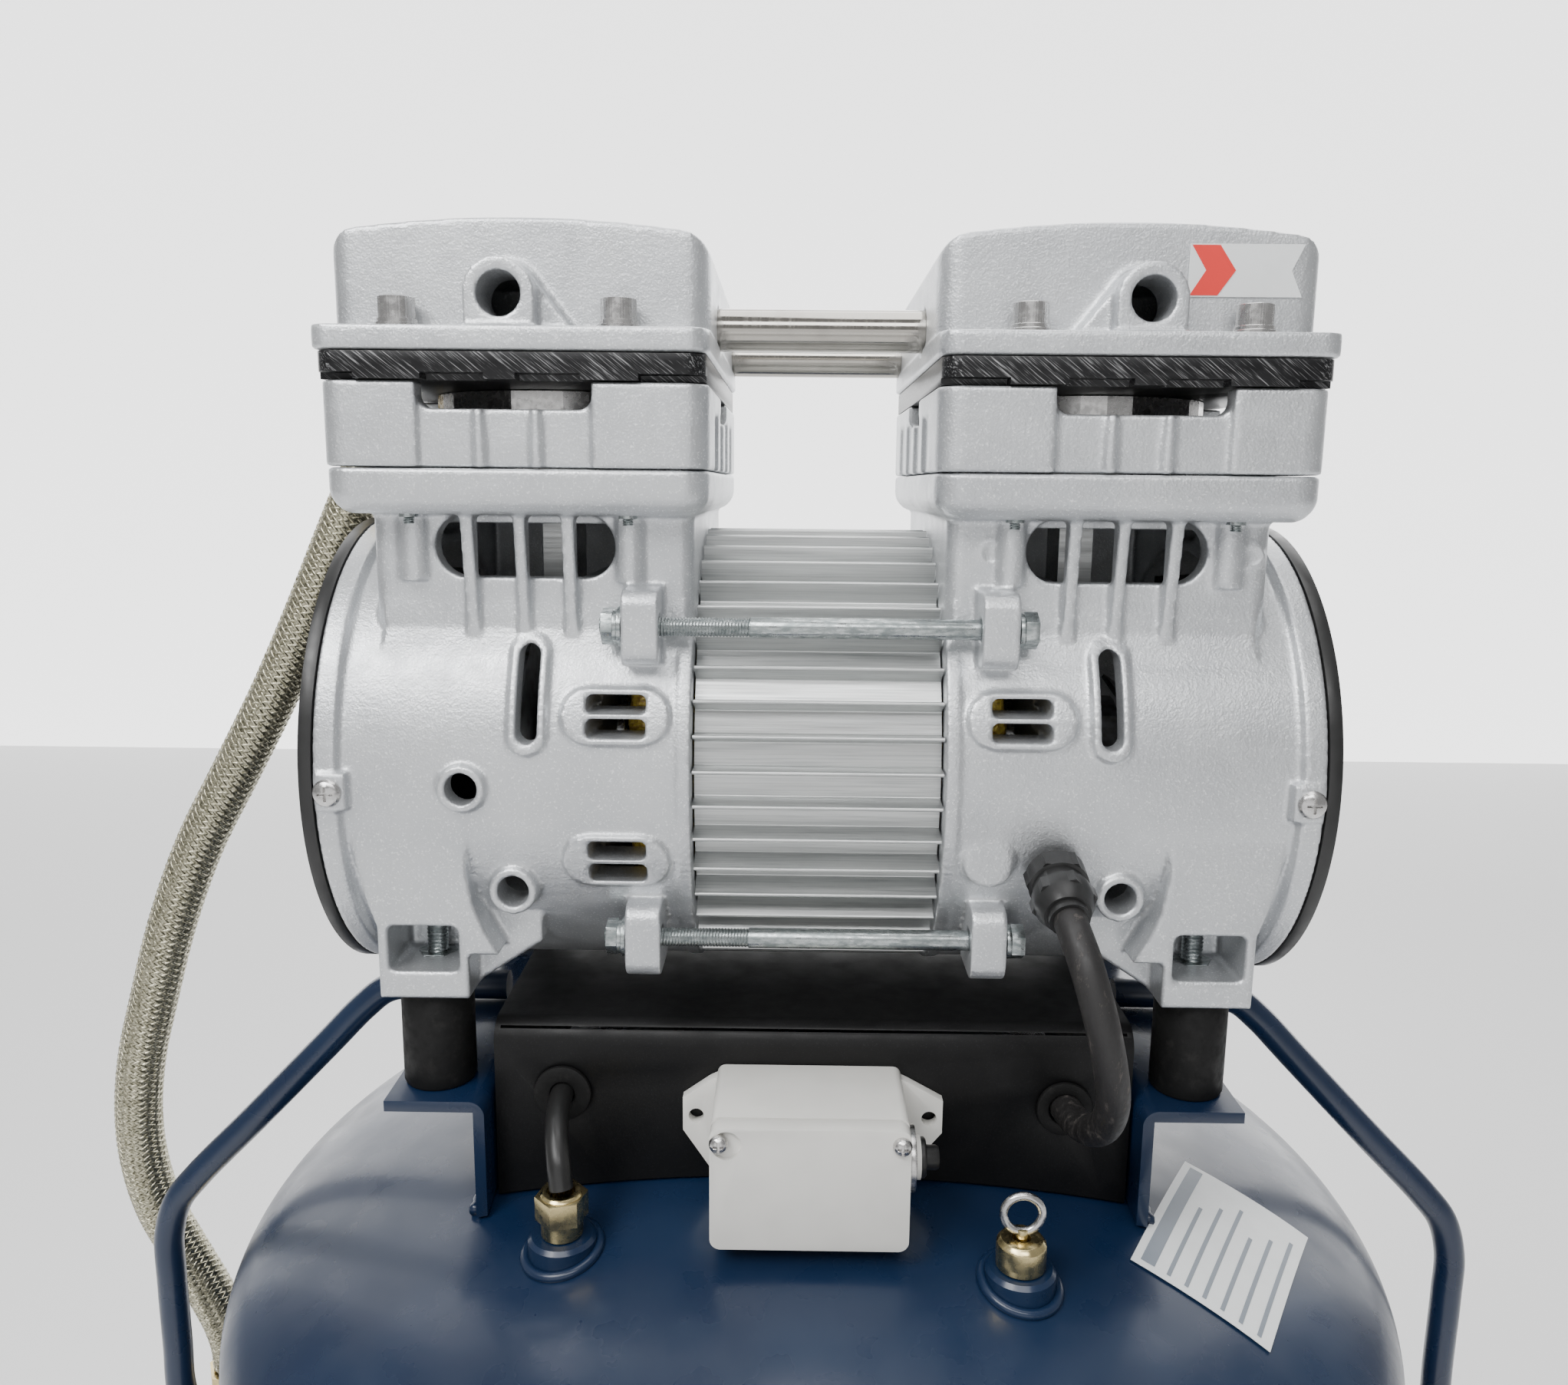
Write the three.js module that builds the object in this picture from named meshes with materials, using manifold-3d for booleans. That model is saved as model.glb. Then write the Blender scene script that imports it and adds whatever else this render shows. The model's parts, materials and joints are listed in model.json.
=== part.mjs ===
// Twin-cylinder oil-free air compressor on a vertical receiver tank.
// Millimetres, +Z up, +X along the shaft to the right, -Y is the front.
// Origin: bottom centre, on the floor under the tank's axis.
import * as THREE from "three";
import { mergeVertices } from "three/addons/utils/BufferGeometryUtils.js";
import Module from "manifold-3d";

const wasm = await Module();
wasm.setup();

// ---- Driving dimensions ----
const GAP = 0.3; // between touching pieces
const AXIS_Z = 510; // height of the crankshaft's axis above the floor
const STATION = 72.7; // each cylinder's centre, measured from the middle of the motor

const SHAFT = { radius: 7.5, end: 118 };
const CRANK = { throw: 6, disc: 17, from: 66.6, to: 80, weightTo: 87, weightRadius: 36 };
const ROD = { from: 68, to: 77.4, eye: 23, length: 90.5, beamHalf: 8, pistonRadius: 25.4 };
const BEARING = { from: 54, to: 65, outer: 17.5 };
const FAN = { from: 96, to: 110, hub: 13, radius: 50, blades: 9 };

const MOTOR = { half: 31, root: 55.5, tip: 61.8, inner: 52, fins: 44, finHalf: 0.65 };
const CORE = { half: 27, inner: 30.2 };
const WINDING = { from: 27.3, to: 49.5, inner: 33, outer: 49 };

const BARREL = { from: 31.3, to: 123.5, radius: 62, rimFrom: 117.8, rimRadius: 64, room: 57 };
const WEB = { from: 56, to: 62 };
const NECK = { x0: 31.3, x1: 110.4, depth: 50 };
const DECK = { x0: 26.8, x1: 118.3, depth: 62, bottom: 66.4, edge: 71.4, top: 77.2, corner: 6 };
const WINDOW = { x0: 50.7, x1: 95.3, z0: 51, z1: 66.3, corner: 7.4 };
const RIB_X = [61.5, 73.3, 86];
const RIB_HALF = 1.5;
const LUG = { x0: 37, x1: 48, y: 57, z: 39.8, half: 9.4, back: 42 };
const FOOT = { x0: 87.9, x1: 110.9, depth: 60, back: 36, bottom: -55.8, x: 100, y: 48 };

const BLOCK = { bottom: DECK.top + GAP, top: 97.2, wall: 6.5 };
const NOTCH = { x0: 53, x1: 97.6, bottom: 91, corner: 3 };
const LINER = { bore: 31.75, outer: 34, bottom: 70.5, top: 97.2 };
const PLATE = { x0: 27.4, x1: 118.3, depth: 63, bottom: 97.5, top: 103.7, corner: 4 };
const COVER = { x0: 26.6, x1: 119.2, depth: 64, bottom: 104, ledge: 109.5, front: -50, rear: 61 };
const CROWN = { top: 136, drop: 3.2, edgeDrop: 9, corner: 7 };
const PORT = { x: 75.3, z: 117, face: -61, outer: 8.3, bore: 5.15 };
const BOLT = { x: [48.3, 100.6], y: 55, pocket: 6.6 };
const PIPE = { y: [-18, 54], z: 114.4, radius: 5.5, end: 33 };

const TIE = { radius: 2.5, end: 54, headRadius: 4.6, head: 4.5 };
const CAP = { from: 123.8, to: 127, radius: 64, slots: 12 };

const TANK = { radius: 170, top: AXIS_Z - 106, height: 350, dome: 50, wall: 3 };
const BUNG = { radius: 8.5, top: -110.5 };
const BASE = { radius: 125, thick: 3, bottom: 14.3, flange: 106 };
const PAD = { count: 3, ring: 115, radius: 14, height: 14 };
const BRACKET = { x0: 85, x1: 111, depth: 62, top: -83.5, thick: 3, foot: -135 };
const SLEEVE = { radius: 9.45 };
const BOX = { half: 84, front: -54, rear: 50, top: -65.5, sheet: 1.5, foot: -130 };
const OVERLOAD = { x0: -25, x1: 23, front: -86, top: -76, bottom: -107.5, lid: 5, ear: 34, earZ: -89 };
const BUTTON = { y: -72, z: -91, neck: 5.3, neckEnd: 28, radius: 3, end: 31.5 };
const GLAND = { x: 59.2, tilt: 0.32, from: 60 };

const HOSE = { radius: 7.25, sides: 8 };
// Route of the discharge hose, from the elbow on the left head down to the check valve.
const HOSE_ROUTE = [
  [-133.5, 14, 79], [-142.5, 14, 59.8], [-153.8, 14, 35], [-165.8, 14, 10.3],
  [-179.4, 14, -14.5], [-193.1, 14, -39.3], [-203.8, 14, -65.3], [-212.3, 14.5, -91.9],
  [-218.3, 15.5, -112], [-222, 17, -132.3], [-222.6, 18.5, -150], [-220, 20, -168],
  [-214, 21.7, -185], [-207, 23, -202], [-202, 23.8, -216], [-200.2, 24, -225], [-200, 24, -231.5],
];
const ELBOW = { y: 14, z: 112, radius: 5.5, ferrule: 8 };
const CHECK = { x: -200, y: 24, z: -246, inlet: -232.3, radius: 8 };

const CABLE = { radius: 4, sides: 8 };
// Route of the motor cable, from the gland on the right crankcase into the control box.
const CABLE_ROUTE = [
  [59.2, -74.8, -24.8], [59.5, -80, -26.8], [61.2, -87, -32.8], [64, -90.5, -43],
  [67, -90.5, -55], [69.5, -87, -67], [70, -80, -77], [69, -71, -83.5],
  [67.5, -62, -86.3], [66.4, -52, -87],
];
const SENSE = { radius: 3, x: -62.5, y: -76, hexTop: -99, hex: 6.6 };
const SENSE_ROUTE = [
  [-66, -50, -84.5], [-66, -58, -84.8], [-65.2, -67, -87], [-63.5, -74, -92.5], [-62.5, -76, -98.6],
];
const SAFETY = { x: 50, y: -86, radius: 6, shoulder: -103 };
const HANDLE = { radius: 4.4 };
const HANDLE_ROUTE = [
  [93, 0, -78.7], [108, 0, -78.7], [122, 0, -78.7], [131, 0, -80.5], [138, 0, -86], [150, 0, -98.5],
  [175, 0, -124.5], [195, 0, -145], [202, 0, -154], [205.6, 0, -166], [206, 0, -180],
  [206, 0, -205], [206, 0, -222], [203, 0, -235], [194, 0, -243.5], [183, 0, -246], [170.6, 0, -246.4],
];
const DRAIN = { bore: 4, boss: 10, bossDrop: 8, shank: 3.6 };

// ---- Materials ----
const paint = (color, roughness, metalness) =>
  new THREE.MeshStandardMaterial({ color, roughness, metalness });
const CASTING = paint(0xc3c6ca, 0.45, 0.85);
const EXTRUSION = paint(0xb9bec1, 0.35, 0.9);
const ANODISED = paint(0x121314, 0.4, 0.7);
const POLISHED = paint(0xd2d2d0, 0.12, 1);
const ZINC = paint(0xb4b8b6, 0.3, 0.9);
const STEEL = paint(0x8d9093, 0.35, 0.9);
const COPPER = paint(0xb8742e, 0.4, 0.6);
const NAVY = paint(0x10233f, 0.25, 0.1);
const BLACK_POWDER = paint(0x0d0e10, 0.6, 0.1);
const BLACK_PLASTIC = paint(0x151515, 0.5, 0);
const RUBBER = paint(0x161616, 0.8, 0);
const IVORY = paint(0xdad9d2, 0.5, 0);
const BRASS = paint(0xc0a060, 0.3, 0.95);
const BRAID = paint(0x8d8a72, 0.4, 0.8);

// ---- Solids ----
function solid(geometry) {
  const bare = geometry.clone();
  bare.deleteAttribute("normal");
  bare.deleteAttribute("uv");
  const merged = mergeVertices(bare, 1e-4);
  return new wasm.Manifold(new wasm.Mesh({
    numProp: 3,
    vertProperties: merged.attributes.position.array,
    triVerts: new Uint32Array(merged.index.array),
  }));
}

function geometryOf(manifold) {
  const { vertProperties, triVerts } = manifold.getMesh();
  const indexed = new THREE.BufferGeometry();
  indexed.setAttribute("position", new THREE.BufferAttribute(new Float32Array(vertProperties), 3));
  indexed.setIndex([...triVerts]);
  const faceted = indexed.toNonIndexed();
  faceted.computeVertexNormals();
  return faceted;
}

const join = (first, ...rest) =>
  geometryOf(rest.reduce((sum, piece) => sum.add(solid(piece)), solid(first)));
const cut = (first, ...tools) =>
  geometryOf(tools.reduce((left, tool) => left.subtract(solid(tool)), solid(first)));
const common = (first, second) => geometryOf(solid(first).intersect(solid(second)));

function box(x0, x1, y0, y1, z0, z1) {
  const size = [x1 - x0, y1 - y0, z1 - z0];
  return new THREE.BoxGeometry(...size).translate((x0 + x1) / 2, (y0 + y1) / 2, (z0 + z1) / 2);
}

// An outline lists pairs: (y, z) for a prism along x, (x, z) along y and (x, y) along z.
const BASES = {
  x: [[0, 1, 0], [0, 0, 1], [1, 0, 0]],
  y: [[1, 0, 0], [0, 0, 1], [0, -1, 0]],
  z: [[1, 0, 0], [0, 1, 0], [0, 0, 1]],
};

function prism(axis, outline, from, to, ...holes) {
  const vectors = (pairs) => pairs.map(([a, b]) => new THREE.Vector2(a, b));
  const shape = new THREE.Shape(vectors(outline));
  shape.holes = holes.map((hole) => new THREE.Path(vectors(hole)));
  const geometry = new THREE.ExtrudeGeometry(shape, { depth: to - from, bevelEnabled: false });
  geometry.translate(0, 0, axis === "y" ? -to : from);
  const basis = BASES[axis].map((v) => new THREE.Vector3(...v));
  return geometry.applyMatrix4(new THREE.Matrix4().makeBasis(...basis));
}

function circle(radius, sides = 32, a = 0, b = 0, turn = 0) {
  return Array.from({ length: sides }, (_, i) => {
    const angle = turn + (i / sides) * Math.PI * 2;
    return [a + radius * Math.cos(angle), b + radius * Math.sin(angle)];
  });
}

const rod = (axis, radius, from, to, [a, b] = [0, 0], sides = 24) =>
  prism(axis, circle(radius, sides, a, b), from, to);

function rounded(a0, a1, b0, b1, radius, steps = 3) {
  const corners = [[a1, b1, 0], [a0, b1, 1], [a0, b0, 2], [a1, b0, 3]];
  return corners.flatMap(([a, b, quarter]) => {
    const ca = a + (a === a1 ? -radius : radius);
    const cb = b + (b === b1 ? -radius : radius);
    return Array.from({ length: steps + 1 }, (_, i) => {
      const angle = ((quarter + i / steps) * Math.PI) / 2;
      return [ca + radius * Math.cos(angle), cb + radius * Math.sin(angle)];
    });
  });
}

// A solid between two outlines of equal length at two heights.
function frustum(lower, z0, upper, z1) {
  const count = lower.length;
  const flat = [...lower.map(([x, y]) => [x, y, z0]), ...upper.map(([x, y]) => [x, y, z1])];
  const cap = THREE.ShapeUtils.triangulateShape(lower.map(([x, y]) => new THREE.Vector2(x, y)), []);
  const faces = cap.flatMap(([a, b, c]) => [[c, b, a], [a + count, b + count, c + count]]);
  for (let i = 0; i < count; i += 1) {
    const next = (i + 1) % count;
    faces.push([i, next, next + count], [i, next + count, i + count]);
  }
  const geometry = new THREE.BufferGeometry();
  geometry.setAttribute("position", new THREE.Float32BufferAttribute(flat.flat(), 3));
  geometry.setIndex(faces.flat());
  return geometry.toNonIndexed();
}

// A turned solid; profile pairs are (radius, place along the axis).
function turned(axis, profile, segments = 48) {
  const points = profile.map(([r, along]) => new THREE.Vector2(r, along));
  const geometry = new THREE.LatheGeometry(points, segments);
  return axis === "z" ? geometry.rotateX(Math.PI / 2) : geometry.rotateZ(-Math.PI / 2);
}

const washer = (axis, inner, outer, from, to, centre = [0, 0], sides = 28) =>
  prism(axis, circle(outer, sides, ...centre), from, to, circle(inner, sides, ...centre));

function tube(route, radius, sides, steps) {
  const curve = new THREE.CatmullRomCurve3(route.map((p) => new THREE.Vector3(...p)), false, "centripetal");
  const section = new THREE.Shape(circle(radius, sides).map(([a, b]) => new THREE.Vector2(a, b)));
  return new THREE.ExtrudeGeometry(section, { steps, extrudePath: curve, bevelEnabled: false });
}

const frontAndBack = (make) => [make(-1), make(1)];

// A box that spans two depths on the front (-1) or the back (+1).
function faceBox(face, x0, x1, near, far, z0, z1) {
  const [y0, y1] = [face * near, face * far].sort((a, b) => a - b);
  return box(x0, x1, y0, y1, z0, z1);
}

function facePrism(face, outline, near, far) {
  const [y0, y1] = [face * near, face * far].sort((a, b) => a - b);
  return prism("y", outline, y0, y1);
}

// ---- Pump casings, drawn for the right side ----
function crankcaseShell(side) {
  const flange = rounded(DECK.x0, DECK.x1, -DECK.depth, DECK.depth, DECK.corner);
  const inset = rounded(DECK.x0 + 1.5, DECK.x1 - 1.5, -DECK.depth + 7, DECK.depth - 7, DECK.corner);
  const pieces = [
    rod("x", BARREL.rimRadius, BARREL.rimFrom, BARREL.to, [0, 0], 40),
    box(NECK.x0, NECK.x1, -NECK.depth, NECK.depth, 0, DECK.bottom + 1),
    frustum(inset, DECK.bottom, flange, DECK.edge),
    prism("z", flange, DECK.edge - 0.01, DECK.top),
    ...frontAndBack((face) => faceBox(face, 88, BARREL.rimFrom, 46, FOOT.depth - 1, -40, -6)),
    ...frontAndBack((face) => faceBox(face, FOOT.x0, FOOT.x1, FOOT.back, FOOT.depth, FOOT.bottom, -34)),
  ];
  for (const face of [-1, 1]) {
    for (const sign of [-1, 1]) {
      const zs = [sign * LUG.z - LUG.half, sign * LUG.z + LUG.half];
      const ys = [face * LUG.back, face * (LUG.y + 5.5)].sort((a, b) => a - b);
      pieces.push(prism("x", rounded(...ys, ...zs, 4, 2), LUG.x0, LUG.x1));
    }
    for (const x of RIB_X) {
      const outline = [[-58, 67], [-49, 67], [-49, 36], [-50.4, 37]].map(([y, z]) => [-face * y, z]);
      pieces.push(prism("x", outline, x - RIB_HALF, x + RIB_HALF));
    }
    pieces.push(facePrism(face, circle(6, 16, 76.4, -27.4), 50, 60));
    pieces.push(facePrism(face, rounded(66.2, 72.6, 4.4, 41.2, 3.2, 3), 45, 61.5));
  }
  pieces.push(rod("y", 5.9, -64, -50, side < 0 ? [87.5, 0] : [42.9, -18.3], 16));
  return join(rod("x", BARREL.radius, BARREL.from, BARREL.rimFrom + 1, [0, 0], 40), ...pieces);
}

function crankcaseRooms(side) {
  const tools = [
    rod("x", MOTOR.inner, BARREL.from - 1, WEB.from, [0, 0], 32),
    rod("x", BARREL.room, WEB.to, BARREL.to + 1, [0, 0], 36),
    rod("x", BEARING.outer + GAP, WEB.from - 1, WEB.to + 1),
    box(WEB.to, 104.4, -44, 44, 0, 60),
    box(37.3, 104.4, -44, 44, 50, 64),
    rod("z", LINER.outer + GAP, 60, DECK.top + 1, [STATION, 0], 32),
    facePrism(-1, rounded(WINDOW.x0, WINDOW.x1, WINDOW.z0, WINDOW.z1, WINDOW.corner), 43, 50.2),
  ];
  for (const face of [-1, 1]) {
    tools.push(facePrism(face, rounded(67.3, 71.5, 9.8, 35.8, 2.05, 3), 40, 66));
    tools.push(faceBox(face, 41.6, 55.5, 40, 66, 12.8, 17.6));
    tools.push(faceBox(face, 41.6, 55.5, 40, 66, 19.6, 24.4));
    tools.push(facePrism(face, circle(4, 12, 76.4, -27.4), 53, 66));
    tools.push(faceBox(face, 90.3, 108.3, 42, 66, -48.7, -37));
    for (const sign of [-1, 1]) {
      tools.push(rod("x", 2.9, LUG.x0 - 1, LUG.x1 + 1, [face * LUG.y, sign * LUG.z], 10));
    }
  }
  if (side < 0) {
    tools.push(rod("y", 4, -66, -59, [87.5, 0], 12));
    tools.push(box(41.6, 55.5, -66, -40, -24.6, -20));
    tools.push(box(41.6, 55.5, -66, -40, -18.2, -13.6));
  }
  return tools;
}

const crankcase = (side) => cut(crankcaseShell(side), ...crankcaseRooms(side));

function cylinderBlock() {
  const { x0, x1, depth, corner } = DECK;
  const wall = BLOCK.wall;
  const outer = rounded(x0, x1, -depth, depth, corner);
  const room = rounded(x0 + wall, x1 - wall, -depth + wall, depth - wall, 3);
  const notch = rounded(NOTCH.x0, NOTCH.x1, NOTCH.bottom, BLOCK.top + NOTCH.corner + 1, NOTCH.corner);
  const notches = frontAndBack((face) => facePrism(face, notch, depth - wall - 1, depth + 1));
  return cut(prism("z", outer, BLOCK.bottom, BLOCK.top, room), ...notches);
}

const cylinderLiner = () =>
  washer("z", LINER.bore, LINER.outer, LINER.bottom, LINER.top, [STATION, 0], 32);

function valvePlate() {
  const outline = rounded(PLATE.x0, PLATE.x1, -PLATE.depth, PLATE.depth, PLATE.corner);
  const ports = [-16, 16].map((y) => circle(4.5, 12, STATION, y));
  return prism("z", outline, PLATE.bottom, PLATE.top, ...ports);
}

// Top of a head seen from the front: a shallow crown with rounded shoulders.
function crownOutline() {
  const middle = (COVER.x0 + COVER.x1) / 2;
  const half = (COVER.x1 - COVER.x0) / 2;
  const spans = [-1, -0.98, -0.94, -0.86, -0.6, -0.2, 0.2, 0.6, 0.86, 0.94, 0.98, 1];
  const top = spans.map((t) => {
    const shoulder = Math.max(0, (Math.abs(t) - 0.8) / 0.2);
    return [middle + half * t, CROWN.top - CROWN.drop * t * t - CROWN.edgeDrop * shoulder ** 3];
  });
  return [[COVER.x1, COVER.bottom + 1], ...top.reverse(), [COVER.x0, COVER.bottom + 1]];
}

function headCover(side) {
  const flange = rounded(COVER.x0, COVER.x1, -COVER.depth, COVER.depth, 5);
  const plan = rounded(COVER.x0, COVER.x1, COVER.front, COVER.rear, CROWN.corner);
  const body = common(
    prism("z", plan, COVER.bottom + 1, CROWN.top + 1),
    prism("y", crownOutline(), COVER.front - 1, COVER.rear + 1),
  );
  const cover = join(
    prism("z", flange, COVER.bottom, COVER.ledge),
    body,
    rod("y", PORT.outer, PORT.face, COVER.front + 4, [PORT.x, PORT.z], 28),
    box(PORT.x - PORT.outer, PORT.x + PORT.outer, PORT.face, COVER.front + 2, COVER.ledge - 1, PORT.z),
  );
  const pockets = BOLT.x.flatMap((x) => [
    rod("z", BOLT.pocket, COVER.ledge, CROWN.top + 2, [x, BOLT.y], 20),
    box(x - BOLT.pocket, x + BOLT.pocket, BOLT.y, COVER.rear + 2, COVER.ledge, CROWN.top + 2),
  ]);
  const tools = [
    box(COVER.x0 + 5, COVER.x1 - 5, COVER.front + 5, -2, COVER.bottom - 1, 127),
    box(COVER.x0 + 5, COVER.x1 - 5, 2, 45, COVER.bottom - 1, 127),
    rod("y", PORT.bore, PORT.face - 1, COVER.front + 8, [PORT.x, PORT.z], 20),
    rod("y", 4, 44, 56, [35, PIPE.z], 12),
    ...PIPE.y.map((y) => rod("x", PIPE.radius + GAP, COVER.x0 - 1, 36, [y, PIPE.z], 20)),
    ...pockets,
  ];
  if (side < 0) {
    tools.push(rod("x", ELBOW.radius + GAP, 108, COVER.x1 + 1, [ELBOW.y, ELBOW.z], 20));
  }
  return cut(cover, ...tools);
}

function endCap() {
  const slot = box(CAP.from - 1, CAP.to + 1, -3, 3, 20, 50);
  const slots = Array.from({ length: CAP.slots }, (_, i) =>
    slot.clone().rotateX((i / CAP.slots) * Math.PI * 2));
  return cut(rod("x", CAP.radius, CAP.from, CAP.to, [0, 0], 40), ...slots);
}

// ---- Motor ----
function statorHousing() {
  const outline = Array.from({ length: MOTOR.fins }, (_, i) => {
    const angle = ((i + 0.5) / MOTOR.fins) * Math.PI * 2;
    const root = MOTOR.finHalf * 1.3 / MOTOR.root;
    const tip = MOTOR.finHalf / MOTOR.tip;
    return [[MOTOR.root, -root], [MOTOR.tip, -tip], [MOTOR.tip, tip], [MOTOR.root, root]].map(
      ([r, turn]) => [r * Math.cos(angle + turn), r * Math.sin(angle + turn)]);
  }).flat();
  return prism("x", outline, -MOTOR.half, MOTOR.half, circle(MOTOR.inner, MOTOR.fins));
}

const statorCore = () =>
  washer("x", CORE.inner, MOTOR.inner - GAP, -CORE.half, CORE.half, [0, 0], 36);
const rotor = () => washer("x", SHAFT.radius + GAP, CORE.inner - 0.7, -CORE.half, CORE.half);
const crankshaft = () => rod("x", SHAFT.radius, -SHAFT.end, SHAFT.end, [0, 0], 24);

function winding() {
  const { from, to, inner, outer } = WINDING;
  const round = 4;
  const profile = [
    [inner, from], [outer, from], [outer, to - round], [outer - round, to],
    [inner + round, to], [inner, to - round], [inner, from],
  ];
  return turned("x", profile, 32);
}

const bearing = () =>
  washer("x", SHAFT.radius + GAP, BEARING.outer, BEARING.from, BEARING.to, [0, 0], 28);

function fan() {
  const blade = box(FAN.from, FAN.to, -1.2, 1.2, FAN.hub - 2, FAN.radius);
  const twist = new THREE.Matrix4().makeRotationZ(0.6);
  const middle = (FAN.from + FAN.to) / 2;
  blade.translate(-middle, 0, 0).applyMatrix4(twist).translate(middle, 0, 0);
  const blades = Array.from({ length: FAN.blades }, (_, i) =>
    blade.clone().rotateX((i / FAN.blades) * Math.PI * 2));
  const hub = rod("x", FAN.hub, FAN.from - 1, FAN.to + 1, [0, 0], 24);
  return cut(join(hub, ...blades), rod("x", SHAFT.radius + GAP, FAN.from - 3, FAN.to + 3, [0, 0], 24));
}

// ---- Crank gear; the right crank pin stands up and the left one down, half a turn apart ----
function eccentric(side) {
  const pin = side * CRANK.throw;
  const half = circle(CRANK.weightRadius, 32).filter(([, z]) => z * side <= 1e-6);
  const weight = prism("x", half, CRANK.to - 1, CRANK.weightTo);
  const hub = rod("x", 14, CRANK.to - 1, CRANK.weightTo, [0, 0], 24);
  const disc = rod("x", CRANK.disc, CRANK.from, CRANK.to, [0, pin], 32);
  return cut(join(disc, weight, hub), rod("x", SHAFT.radius + GAP, 60, 90, [0, 0], 24));
}

function connectingRod(side) {
  const pin = side * CRANK.throw;
  const top = pin + ROD.length;
  const body = join(
    rod("x", ROD.eye, ROD.from, ROD.to, [0, pin], 32),
    box(ROD.from, ROD.to, -ROD.beamHalf, ROD.beamHalf, pin + 18, top - 4),
    rod("z", ROD.pistonRadius, top - 7, top - 2, [STATION, 0], 32),
    rod("z", 14, top - 3, top, [STATION, 0], 24),
  );
  return cut(body, rod("x", CRANK.disc + GAP, ROD.from - 1, ROD.to + 1, [0, pin], 32));
}

function pistonCup(side) {
  const top = side * CRANK.throw + ROD.length;
  return washer("z", 14 + GAP, ROD.pistonRadius, top - 1.7, top - 0.5, [STATION, 0], 32);
}

// ---- Links between the two heads and crankcases ----
function tieRod(y, z) {
  const spot = [y, z];
  return join(
    rod("x", TIE.radius, -TIE.end, LUG.x1 + GAP + 1, spot, 14),
    rod("x", TIE.headRadius, LUG.x1 + GAP, LUG.x1 + GAP + TIE.head, spot, 6),
  );
}

const crossPipe = (y) => washer("x", PIPE.radius - 1.2, PIPE.radius, -PIPE.end, PIPE.end, [y, PIPE.z], 20);

// ---- Tank and base, in heights above the floor ----
const domeSag = (r) => TANK.dome * (1 - Math.sqrt(Math.max(0, 1 - (r / TANK.radius) ** 2)));
const TANK_BOTTOM = TANK.top - TANK.height;

function domeArc(radius, sag, steps) {
  return Array.from({ length: steps + 1 }, (_, i) => {
    const angle = (i / steps) * (Math.PI / 2);
    return [radius * Math.sin(angle), sag * (1 - Math.cos(angle))];
  });
}

function tankShell() {
  const outer = domeArc(TANK.radius, TANK.dome, 8);
  const inner = domeArc(TANK.radius - TANK.wall, TANK.dome, 4);
  const up = (z) => ([r, sag]) => [r, z + sag];
  const down = (z) => ([r, sag]) => [r, z - sag];
  const profile = [
    ...inner.map(down(TANK.top - TANK.wall)),
    ...inner.map(up(TANK_BOTTOM + TANK.wall)).reverse().slice(0, -1),
    [DRAIN.bore, TANK_BOTTOM + TANK.wall],
    [DRAIN.bore, TANK_BOTTOM - DRAIN.bossDrop],
    [DRAIN.boss, TANK_BOTTOM - DRAIN.bossDrop],
    [DRAIN.boss, TANK_BOTTOM + 0.3],
    ...outer.map(up(TANK_BOTTOM)).slice(1),
    ...outer.map(down(TANK.top)).reverse(),
  ];
  const bungTop = AXIS_Z + BUNG.top;
  const checkZ = AXIS_Z + CHECK.z;
  return join(
    turned("z", profile, 36),
    rod("z", BUNG.radius, TANK.top - 13, bungTop, [SENSE.x, SENSE.y], 20),
    rod("z", BUNG.radius, TANK.top - 13, bungTop, [SAFETY.x, SAFETY.y], 20),
    rod("x", 10, -TANK.radius - 4, -TANK.radius + 6, [CHECK.y, checkZ], 20),
  );
}

// Everything inside the tank's outer skin, grown by the fitting gap.
function domeCutter() {
  const growth = 3 * GAP;
  const skin = domeArc(TANK.radius + growth, TANK.dome, 12).map(([r, sag]) => [r, growth - sag]);
  const profile = [[0, -200], [TANK.radius + growth, -200], ...skin.reverse()];
  return turned("z", profile, 48).translate(0, 0, TANK.top - AXIS_Z);
}

function baseRing() {
  const top = (r) => TANK_BOTTOM + domeSag(r) - 2 * GAP;
  const inner = BASE.radius - BASE.thick;
  const profile = [
    [BASE.flange, BASE.bottom], [BASE.radius, BASE.bottom], [BASE.radius, top(BASE.radius)],
    [inner, top(inner)], [inner, BASE.bottom + BASE.thick], [BASE.flange, BASE.bottom + BASE.thick],
    [BASE.flange, BASE.bottom],
  ];
  const openings = [0, 1, 2].map((i) =>
    box(-26, 26, 100, 140, 28, 54).rotateZ(((i + 0.5) / 3) * Math.PI * 2 + Math.PI / 2));
  return cut(turned("z", profile, 36), ...openings);
}

function drainScrew() {
  const z = TANK_BOTTOM - DRAIN.bossDrop;
  return join(
    rod("z", DRAIN.shank, z - 4, z + 12, [0, 0], 16),
    rod("z", 6, z - 8, z - GAP - 1, [0, 0], 16),
    box(-14, 14, -1.6, 1.6, z - 16, z - 4),
  );
}

// ---- Brackets, handles and boxes between the tank and the pump ----
function bracket() {
  const { x0, x1, depth, top, thick, foot } = BRACKET;
  const outline = [
    [x0, foot], [x0 + thick, foot], [x0 + thick, top - thick], [x1, top - thick],
    [x1, top], [x0 + 3, top], [x0 + 0.9, top - 0.9], [x0, top - 3],
  ];
  return cut(prism("y", outline, -depth, depth), domeCutter());
}

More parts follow.
